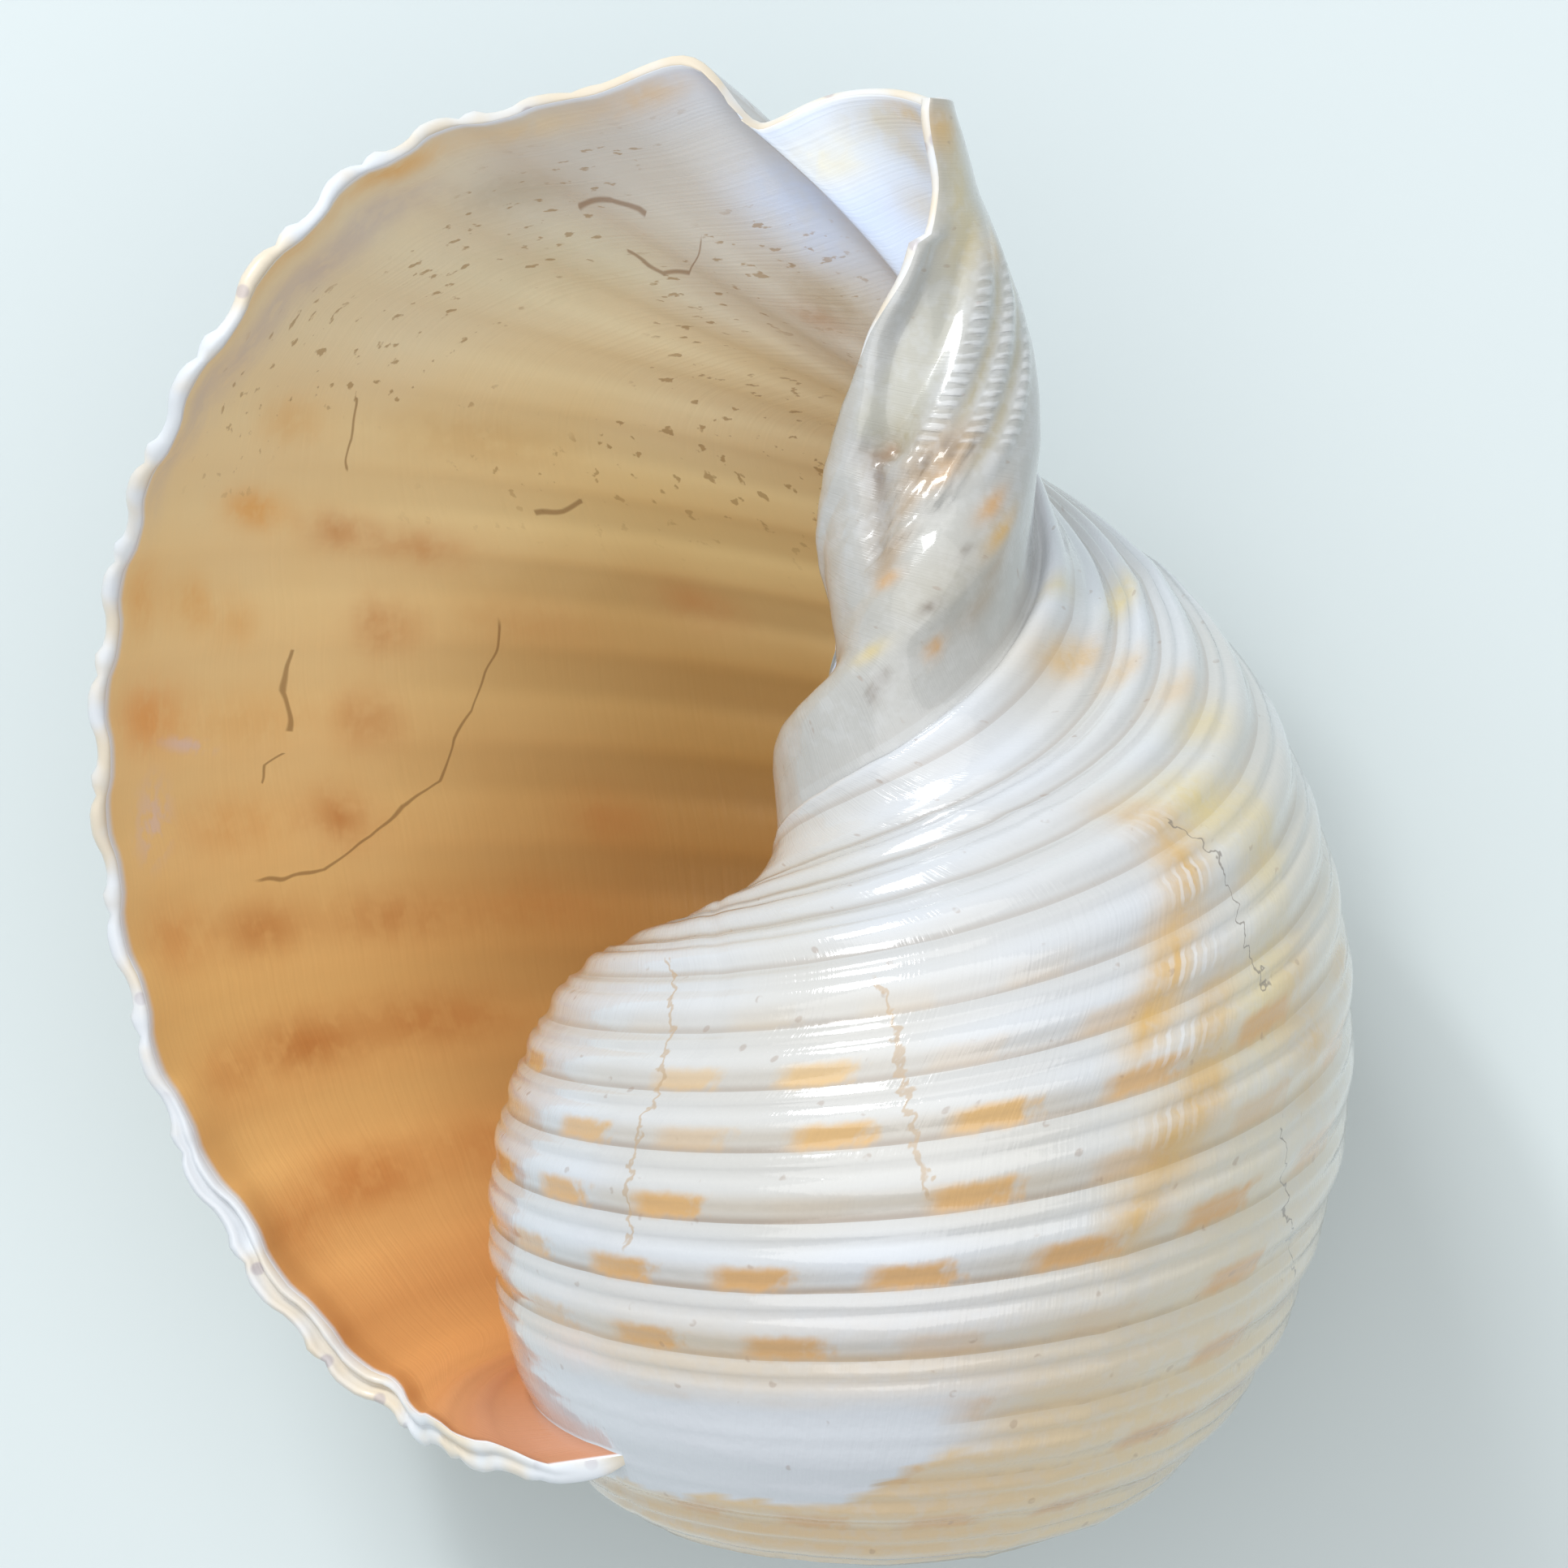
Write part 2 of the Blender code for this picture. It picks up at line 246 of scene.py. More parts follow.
@dataclass
class Wall:
    """The wall of the shell: its smooth sheet, its thickness and what stands on it."""

    lip: Lip = field(default_factory=Lip)
    thickness: float = 1.8 * MM
    lip_thickness: float = 1.2 * MM
    lip_thickening: float = 25.0
    fold_thickness: float = 1.5 * MM
    canal_thickness: float = 0.95 * MM
    taper: float = 0.6
    edge_cut: float = 0.3
    tip_drop: float = 1.0 * MM
    rib_height: float = 1.0 * MM
    rib_inside: float = 0.42
    thread_height: float = 0.62 * MM
    thread_groove: float = 0.55 * MM
    corner_drop: float = 12.0 * MM
    corner_turn: float = 120.0
    corner_gaps: tuple[float, ...] = (-0.9, -0.6, -0.3, 0.3, 0.6, 0.9)
    waist: float = 0.42
    waist_turns: tuple[float, float] = (190.0, 300.0)
    roll_height: float = 0.9 * MM
    trough_depth: float = 1.3 * MM
    chink_depth: float = 1.7 * MM
    valley_depth: float = 1.3 * MM
    notch_depth: float = 7.5 * MM
    # ridges of the neck: rib count, half width, height, turns where they rise and where they end
    ridges: tuple[tuple[float, float, float, float, float], ...] = (
        (10.66, 0.13, 0.45, 40.0, 106.0), (10.26, 0.11, 0.50, 50.0, 112.0), (9.88, 0.10, 0.42, 76.0, 120.0))
    chink_rim: float = 0.4 * MM
    rough_height: float = 0.24 * MM
    crag_height: float = 0.5 * MM
    lobe_height: float = 0.85 * MM
    soft_height: float = 0.10 * MM
    # pauses in the growth: turn, height and width
    pauses: tuple[tuple[float, float, float], ...] = (
        (-229.0, 0.35, 2.2), (-206.0, 0.28, 2.4), (-305.0, -0.22, 2.5), (-268.0, -0.15, 3.0),
        (-150.0, 0.3, 3.0), (-96.0, 0.25, 3.0), (-34.0, 0.2, 3.0))
    # enamel beside the mouth: depth of the edge, share of the ribs that it hides, its rib count
    glaze_depth: float = 0.28 * MM
    glaze_hides: float = 0.78
    glaze_fills: float = 0.35
    glaze_low: float = -4.75
    wear: Ripples = field(default_factory=lambda: Ripples(7))
    edge: Ripples = field(default_factory=lambda: Ripples(19))

    def smooth(self, knot: Array, turn: Array) -> Array:
        """The outer face without its relief.

        Args:
            knot: Array of knots.
            turn: Array of turns, 0 at the lip and negative before it.

        Returns:
            Points in the shell's own axes.
        """
        # the canal's free edge is cut back, and steps out again where it is chipped
        chip = fade(-turn, 40.5, 43.5)
        cut = fade(-turn, 2.0, 30.0) * (1.0 - chip) + 0.5 * chip * (1.0 - fade(-turn, 50.0, 80.0))
        cut = self.edge_cut * cut * fade(knot, 17.0, 18.0)
        polar = self.lip.read(knot - cut).copy()
        corner = span(knot, 10.4, 13.3, 14.3, 15.6)
        drop = self.corner_drop * corner * fade(-turn, 0.0, self.corner_turn)
        base = span(knot, 11.2, 13.8, 16.5, 18.0)
        drop = drop + self.tip_drop * bell(knot, 17.0, 0.45) * bell(turn, 0.0, 8.0)
        narrow = 1.0 - self.waist * base * fade(-turn, *self.waist_turns)
        polar[..., 0] *= narrow
        polar[..., 1] -= drop
        return self.lip.place(polar, turn, self.lip.growth(turn))

    def outward(self, knot: Array, turn: Array) -> Array:
        """Unit normal of the smooth face, pointing out of the shell."""
        low = np.maximum(knot - 0.02, 0.0)
        high = np.minimum(knot + 0.02, self.lip.end)
        across = self.smooth(high, turn) - self.smooth(low, turn)
        along = self.smooth(knot, turn + 0.5) - self.smooth(knot, turn - 0.5)
        normal = np.cross(along, across)
        return normal / np.linalg.norm(normal, axis=-1, keepdims=True)

    def soft_outward(self, knot: Array, turn: Array) -> Array:
        """Outward direction, evened out round the corner by the notch so that the wall has no fold."""
        corner = (span(knot, 12.6, 13.3, 15.2, 16.0))[..., None]
        total = self.outward(knot, turn)
        for gap in self.corner_gaps:
            total = total + corner * self.outward(knot + gap * (knot < 17.0), turn)
        return total / np.linalg.norm(total, axis=-1, keepdims=True)

    def forward(self, knot: Array, turn: Array) -> Array:
        """Unit direction in which the lip grows."""
        along = self.smooth(knot, turn + 0.5) - self.smooth(knot, turn - 0.5)
        return along / np.linalg.norm(along, axis=-1, keepdims=True)

    def glaze(self, knot: Array, turn: Array) -> Array:
        """Share of the enamel that lies over the ribs beside the mouth, with a ragged edge."""
        count = self.lip.rib_count(knot)
        coarse = self.edge.at(turn / 17.0, turn * 0.0)
        ragged = 0.16 * coarse + 0.07 * self.edge.at(turn / 5.0, turn * 0.0 + 3.0)
        low = self.glaze_low + 1.15 * fade(turn, -272.0, -243.0) + ragged
        body = fade(count, low - 0.03, low + 0.05) * (1.0 - fade(count, -3.0, -2.3))
        return body * (1.0 - fade(turn, -252.0, -236.0))

    def rib_shape(self, knot: Array, turn: Array) -> Array:
        """Height of the ribs as a share of the full height.

        Args:
            knot: Array of knots.
            turn: Array of turns.

        Returns:
            Array of shares, 1 on a crest and 0 in a groove.
        """
        count = self.lip.rib_count(knot)
        wave = np.cos(FULL_TURN * self.lip.phase(knot, turn))
        crest = 0.35 * (0.5 + 0.5 * wave) + 0.65 * fade(wave, -0.75, 0.7)
        fan = 0.45 * fade(-turn, 90.0, 150.0) * (1.0 - fade(count, 8.2, 9.0))
        base_end = 1.0 - fade(knot, 12.4, 13.6)
        window = fade(knot, 0.6, 2.2) * np.maximum(base_end, fan)
        return crest * window

    def threads(self, knot: Array, turn: Array) -> Array:
        """Height in metres of the thread on the upper side of each rib, and of the groove below it."""
        phase = self.lip.phase(knot, turn)
        across = phase - np.floor(phase)
        line = self.thread_height * bell(across, 0.34, 0.08) - self.thread_groove * bell(across, 0.18, 0.07)
        return line * span(knot, 0.6, 2.2, 12.4, 13.6)

    def recess(self, knot: Array, turn: Array) -> Array:
        """Depth of the hollows of the neck: the trough, its deep end, the valley and the notch below.

        Args:
            knot: Array of knots.
            turn: Array of turns.

        Returns:
            Array of depths in metres, by which the whole wall is bent inwards.
        """
        count = self.lip.rib_count(knot)
        bent = chink_turn(turn, count)
        above = 1.0 - fade(-bent, 116.5, 120.5)
        margin = self.roll_margin(turn)
        floor = span(count, 10.74, 10.96, margin - 0.14, margin + 0.02)
        trough = self.trough_depth * floor * fade(-turn, 30.0, 62.0) * above
        chink = self.chink_depth * bell(count, 10.93, 0.2) * fade(-bent, 92.0, 117.0) * above
        valley = bell(count, valley_count(turn), 0.17) * span(-turn, 108.0, 122.0, 146.0, 170.0)
        notch = self.notch_depth * bell(turn, -211.0, 36.0) * fade(count, 8.7, 10.3)
        return trough + chink + self.valley_depth * valley + notch

    @staticmethod
    def roll_margin(turn: Array) -> Array:
        """Rib count of the edge between the trough and the smooth roll beside the mouth."""
        return 11.46 - 0.26 * fade(-turn, 75.0, 120.0)

    def neck(self, knot: Array, turn: Array) -> Array:
        """What stands on the neck: ridges, the roll, the chink's rim and the rough growth below."""
        count = self.lip.rib_count(knot)
        height = 0.0
        for middle, width, top, rise, end in self.ridges:
            reach = span(-turn, rise - 10.0, rise + 12.0, end - 5.0, end + 6.0)
            height = height + top * MM * bell(count, middle, width) * reach
        margin = self.roll_margin(turn)
        roll = fade(count, margin - 0.05, margin + 0.07) * fade(-turn, 40.0, 44.0)
        height = height + self.roll_height * roll
        chink_rim = bell(chink_turn(turn, count), -121.5, 2.6) * bell(count, 10.78, 0.35)
        height = height + self.chink_rim * chink_rim
        patch = span(count, 10.0, 10.3, 10.75, 10.95)
        patch = patch * span(-turn, 102.0, 112.0, 135.0, 165.0)
        rough = self.wear.at(turn / 9.0, count * 4.5) + 0.7 * self.edge.at(turn / 5.0, count * 9.0)
        crag = bell(count, 10.2 + 0.05 * self.edge.at(turn / 9.0, 0.0 * count), 0.11)
        crag = crag * span(-turn, 114.0, 124.0, 156.0, 172.0)
        lobe = span(count, 8.95, 9.25, 9.8, 10.15)
        lobe = lobe * span(-turn, 126.0, 150.0, 166.0, 195.0)
        growths = self.rough_height * rough * patch + self.crag_height * crag * (1.0 + 0.5 * rough)
        return height + growths + self.lobe_height * lobe

    def seasons(self, knot: Array, turn: Array) -> Array:
        """Growth pauses: low steps and swellings that follow the old lips."""
        count = self.lip.rib_count(knot)
        drift = turn + 1.3 * self.wear.at(count / 9.0, turn * 0.0)
        soft = self.soft_height * self.wear.at(drift / 23.0, count / 14.0)
        steps = sum(height * MM * bell(drift, stage, width) for stage, height, width in self.pauses)
        return soft + steps * (1.0 - fade(count, 7.0, 8.5))

    def relief(self, knot: Array, turn: Array) -> Array:
        """Everything that stands on the smooth face, in metres."""
        glaze = self.glaze(knot, turn)
        ribs = self.rib_height * self.rib_shape(knot, turn) + self.threads(knot, turn)
        ribs = ribs * (1.0 - self.glaze_hides * glaze)
        ribs = ribs + (self.glaze_depth + self.glaze_fills * self.rib_height) * glaze
        height = ribs + self.neck(knot, turn) + self.seasons(knot, turn) - self.recess(knot, turn)
        return height * self.lip.growth(turn)

    def outer(self, knot: Array, turn: Array) -> Array:
        """The outer face."""
        return self.smooth(knot, turn) + self.outward(knot, turn) * self.relief(knot, turn)[..., None]

    def inner(self, knot: Array, turn: Array) -> Array:
        """The inner face, on which the ribs of the outside still show as grooves."""
        count = self.lip.rib_count(knot)
        body = self.thickness + (self.lip_thickness - self.thickness) * fade(turn, -self.lip_thickening, 0.0)
        fold = 1.0 - fade(count, -4.6, -3.0)
        body = body + self.fold_thickness * fold * fade(turn, -9.0, 0.0) * fade(knot, 0.6, 2.0)
        depth = body + (self.canal_thickness - body) * fade(knot, 10.6, 13.2)
        depth = depth * self.lip.growth(turn) ** self.taper
        ribs = self.rib_height * self.rib_shape(knot, turn) * self.lip.growth(turn)
        scallop = 1.0 + 0.5 * fade(turn, -10.0, 0.0)
        depth = depth - self.rib_inside * scallop * ribs + self.recess(knot, turn) * self.lip.growth(turn)
        return self.smooth(knot, turn) - self.soft_outward(knot, turn) * depth[..., None]


@dataclass(frozen=True)
class Stain:
    """One soft spot of colour on the growing sheet."""

    turn: float
    count: float
    length: float
    width: float
    tint: Tint
    strength: float = 0.7

    def share(self, turn: Array, count: Array) -> Array:
        """How much of the spot's colour shows, from 0 to 1."""
        away = ((turn - self.turn) / self.length) ** 2 + ((count - self.count) / self.width) ** 2
        return self.strength * np.exp(-away)


@dataclass(frozen=True)
class StainsAndShade:
    """Soft colours that growth, wear and the animal left on the shell, and painted shade in the neck's valley
    and between its ridges, laid over one another.
    """

    tan: Tint = linear(150, 122, 82)
    honey: Tint = linear(196, 150, 42)
    orange: Tint = linear(186, 134, 48)
    amber: Tint = linear(238, 176, 96)
    brown: Tint = linear(90, 72, 48)
    # painted shade laid along the floor of the neck's valley
    valley_shade: Tint = linear(138, 128, 116)
    rust: Tint = linear(204, 130, 68)
    lilac: Tint = linear(204, 194, 190)
    blue: Tint = linear(206, 220, 246)

    def outside(self) -> tuple[Stain, ...]:
        """Spots of the outside, from the canal down to the whorls."""
        yellow = linear(202, 176, 82)
        return tuple(Stain(*spot) for spot in (
            # outside of the canal
            (-9.0, 11.4, 7.0, 0.22, self.honey, 0.75), (-26.0, 11.25, 14.0, 0.25, yellow, 0.5),
            (-40.0, 10.95, 13.0, 0.25, yellow, 0.45), (-46.0, 10.52, 6.0, 0.14, self.honey, 0.8),
            # deep end of the trough
            (-109.0, 10.93, 8.0, 0.16, linear(156, 144, 106), 0.7),
            (-115.5, 10.98, 4.0, 0.11, linear(128, 92, 44), 1.0),
            # rough growth below it
            (-113.0, 10.42, 10.0, 0.27, self.tan, 0.95), (-122.0, 10.48, 9.0, 0.2, self.tan, 0.8),
            (-110.0, 10.45, 3.0, 0.07, self.brown, 0.8), (-118.0, 10.55, 3.0, 0.07, self.brown, 0.8),
            (-114.0, 10.36, 2.5, 0.06, self.brown, 0.7), (-121.0, 10.3, 5.0, 0.1, self.orange, 0.5),
            (-135.0, 10.42, 10.0, 0.1, self.tan, 0.6), (-150.0, 10.22, 8.0, 0.1, self.tan, 0.7),
            (-130.0, 9.62, 6.0, 0.12, self.orange, 0.85), (-137.0, 9.33, 8.0, 0.12, self.honey, 0.9),
            (-146.0, 9.12, 7.0, 0.08, self.tan, 0.7), (-156.0, 9.0, 8.0, 0.07, self.tan, 0.55),
            (-160.0, 9.45, 16.0, 0.4, linear(158, 152, 134), 0.6),
            (-162.0, 9.98, 4.0, 0.11, self.orange, 0.85), (-157.0, 10.12, 6.0, 0.08, self.tan, 0.7),
            (-167.0, 9.35, 3.0, 0.07, self.brown, 0.85), (-147.0, 9.55, 2.4, 0.05, self.brown, 0.7),
            (-175.0, 9.0, 3.4, 0.05, self.orange, 0.9), (-193.0, 9.05, 2.2, 0.05, self.brown, 0.8),
            (-198.0, 9.0, 2.2, 0.05, self.brown, 0.8), (-190.0, 9.35, 6.0, 0.1, yellow, 0.6),
            # fan between the neck and the last whorl
            (-148.0, 6.5, 5.0, 0.5, yellow, 0.7), (-139.0, 8.0, 4.0, 0.3, yellow, 0.5),
            (-162.0, 7.4, 7.0, 0.5, self.honey, 0.75), (-172.0, 6.4, 6.0, 0.35, self.honey, 0.55),
            (-186.0, 5.3, 6.0, 0.4, self.honey, 0.5), (-196.0, 4.6, 6.0, 0.5, yellow, 0.5),
            # band of honey left by a pause in the growth
            (-216.0, 4.0, 7.0, 0.7, yellow, 0.75), (-225.0, 4.3, 4.0, 0.6, self.honey, 0.6),
            (-227.0, 3.4, 4.0, 0.6, self.honey, 0.85), (-231.0, 2.4, 4.0, 0.7, self.honey, 0.9),
            (-233.0, 1.7, 3.5, 0.5, self.honey, 0.85), (-221.5, 1.3, 3.5, 0.7, self.honey, 0.75),
            (-221.0, 0.5, 3.5, 0.4, self.honey, 0.8), (-226.0, 0.0, 5.0, 0.5, self.honey, 0.85),
            (-230.0, -0.8, 4.0, 0.45, self.honey, 0.8), (-208.0, 3.0, 6.0, 0.8, yellow, 0.55),
            (-204.0, 1.0, 5.0, 0.6, self.honey, 0.6), (-198.0, 0.1, 4.0, 0.5, self.honey, 0.7),
            (-184.0, 0.7, 5.0, 0.4, self.honey, 0.7), (-211.0, 1.3, 7.0, 0.7, yellow, 0.5),
            # rose of the wall where it runs into the mouth
            (-309.0, -2.7, 9.0, 0.5, linear(206, 186, 178), 0.7),
        ))

    def mouth(self) -> tuple[Stain, ...]:
        """Spots of the inside, from the lip inwards."""
        return tuple(Stain(*spot) for spot in (
            (-26.0, 1.72, 4.5, 0.22, linear(238, 168, 78), 0.8), (-38.0, 1.5, 4.0, 0.24, self.rust, 0.6),
            (-48.0, 1.35, 5.0, 0.24, self.rust, 0.5), (-31.0, 2.76, 6.0, 0.28, linear(232, 178, 104), 0.5),
            (-58.0, 2.8, 12.0, 0.3, linear(206, 160, 96), 0.4),
            (-6.0, 0.82, 4.0, 0.34, linear(238, 174, 96), 0.6), (-15.5, 0.72, 2.8, 0.26, self.amber, 0.7),
            (-22.5, 0.53, 3.0, 0.26, self.amber, 0.5), (-42.0, 0.45, 3.2, 0.28, self.rust, 0.6),
            (-76.5, 1.03, 4.0, 0.28, self.rust, 0.45), (-58.0, 0.6, 8.0, 0.26, self.rust, 0.25),
            (-9.0, -0.27, 6.0, 0.3, linear(238, 158, 82), 0.75), (-39.0, -0.46, 3.4, 0.28, self.rust, 0.6),
            (-25.0, -0.4, 9.0, 0.3, linear(232, 170, 92), 0.4), (-34.0, -1.38, 3.4, 0.26, self.rust, 0.75),
            (-20.0, -1.35, 9.0, 0.28, linear(226, 150, 76), 0.4),
            (-63.0, -1.41, 4.0, 0.28, self.rust, 0.45), (-21.5, -2.3, 6.0, 0.24, self.rust, 0.75),
            (-38.0, -2.34, 8.0, 0.24, self.rust, 0.6), (-54.0, -2.3, 9.0, 0.28, self.rust, 0.4),
            (-9.0, -2.2, 5.0, 0.3, linear(222, 140, 72), 0.5), (-23.5, -3.35, 8.0, 0.26, self.rust, 0.85),
            (-40.0, -3.3, 10.0, 0.26, self.rust, 0.7), (-11.0, -3.4, 5.0, 0.28, self.rust, 0.5),
            (-24.0, -4.61, 9.0, 0.3, self.rust, 0.75), (-10.0, -4.78, 5.0, 0.3, self.rust, 0.5),
            (-42.0, -4.5, 9.0, 0.3, self.rust, 0.5),
            # warm margin and lilac band inside the lip's upper side
            (-4.0, 5.38, 4.0, 0.5, linear(234, 184, 112), 0.85),
            (-3.0, 4.2, 4.0, 0.7, linear(236, 190, 120), 0.6),
            (-5.5, 6.6, 4.0, 0.6, linear(232, 204, 156), 0.6),
            (-5.0, 7.6, 4.0, 0.4, linear(222, 192, 150), 0.75), (-14.0, 4.9, 4.5, 0.6, self.lilac, 0.8),
            (-16.0, 4.2, 4.5, 0.5, self.lilac, 0.7), (-13.5, 3.5, 4.0, 0.6, self.lilac, 0.75),
            (-8.0, 2.9, 3.5, 0.5, self.lilac, 0.7), (-4.5, 2.2, 3.0, 0.5, self.lilac, 0.55),
            (-23.0, 5.9, 6.0, 0.5, linear(184, 172, 150), 0.6),
            (-45.0, 5.4, 16.0, 1.0, linear(214, 206, 172), 0.5),
            # canal
            (-35.0, 7.9, 8.0, 0.5, self.blue, 0.9), (-28.0, 8.9, 7.0, 0.35, self.blue, 0.9),
            (-46.0, 7.7, 7.0, 0.35, self.blue, 0.7), (-13.0, 9.1, 7.0, 0.3, linear(228, 224, 204), 0.95),
            (-7.0, 9.7, 6.0, 0.35, linear(206, 196, 170), 0.75),
            (-17.5, 9.7, 8.0, 0.2, linear(206, 196, 172), 0.7),
            (-32.0, 9.35, 7.0, 0.2, linear(208, 200, 184), 0.7),
            (-5.0, 10.1, 5.0, 0.2, linear(216, 190, 140), 0.8),
            (-57.0, 7.2, 9.0, 0.5, linear(188, 172, 142), 0.6),
            (-62.0, 6.8, 4.0, 0.2, linear(176, 128, 78), 0.6),
        ))

    def ground(self, side: Side, turn: Array, count: Array) -> list[tuple[Array, Tint]]:
        """Wide washes of colour that no single spot makes, painted shade among them.

        Args:
            side: Face of the wall.
            turn: Turn of each corner.
            count: Rib count of each corner.

        Returns:
            Shares and their tints, in the order in which they are laid.
        """
        if side is not Side.OUTSIDE:
            return []
        middle = valley_count(turn)
        below = span(-turn, 112.0, 120.0, 150.0, 168.0)
        trough = span(count, 10.76, 10.92, 11.28, 11.4)
        trough = trough * fade(-turn, 30.0, 64.0) * (1.0 - fade(-chink_turn(turn, count), 116.0, 119.0))
        # painted shade: darker khaki in the grooves between the neck's ridges
        ridge_gap_shade = bell(count, 10.46, 0.06) * span(-turn, 34.0, 50.0, 96.0, 108.0)
        ridge_gap_shade = ridge_gap_shade + bell(count, 10.07, 0.07) * span(-turn, 40.0, 60.0, 112.0, 124.0)
        low = fade(-count, 0.6, 4.2) * fade(turn, -350.0, -300.0)
        return [
            (0.95 * low, linear(200, 172, 126)),
            (0.55 * fade(turn, -256.0, -206.0) * fade(-count, -4.5, 0.0), linear(202, 188, 150)),
            (0.85 * fade(count, 8.2, 9.0), linear(160, 159, 152)),
            (0.85 * trough, linear(164, 162, 148)),
            (0.8 * ridge_gap_shade, linear(158, 148, 116)),
            # painted shade: grey along the valley's floor, and dark brown where it begins below the trough
            (0.75 * bell(count, middle, 0.2) * below, self.valley_shade),
            (0.8 * bell(count, middle - 0.02, 0.1) * below * bell(turn, -122.0, 10.0), linear(98, 78, 58))]

    def paint(self, side: Side, turn: Array, count: Array) -> Array:
        """Colour and strength of the spots and washes, painted shade included.

        Args:
            side: Face of the wall.
            turn: Turn of each corner.
            count: Rib count of each corner.

        Returns:
            Array with one more axis: red, green, blue and strength.
        """
        spots = {Side.OUTSIDE: self.outside, Side.MOUTH: self.mouth}.get(side, tuple)()
        layers = self.ground(side, turn, count)
        layers += [(spot.share(turn, count), spot.tint) for spot in spots]
        colour = np.zeros((*turn.shape, 3))
        cover = np.zeros(turn.shape)
        for share, tint in layers:
            colour = colour * (1.0 - share[..., None]) + share[..., None] * np.array(tint)
            cover = cover * (1.0 - share) + share
        colour = colour / np.maximum(cover, 1e-4)[..., None]
        return np.concatenate([colour, cover[..., None]], axis=-1)


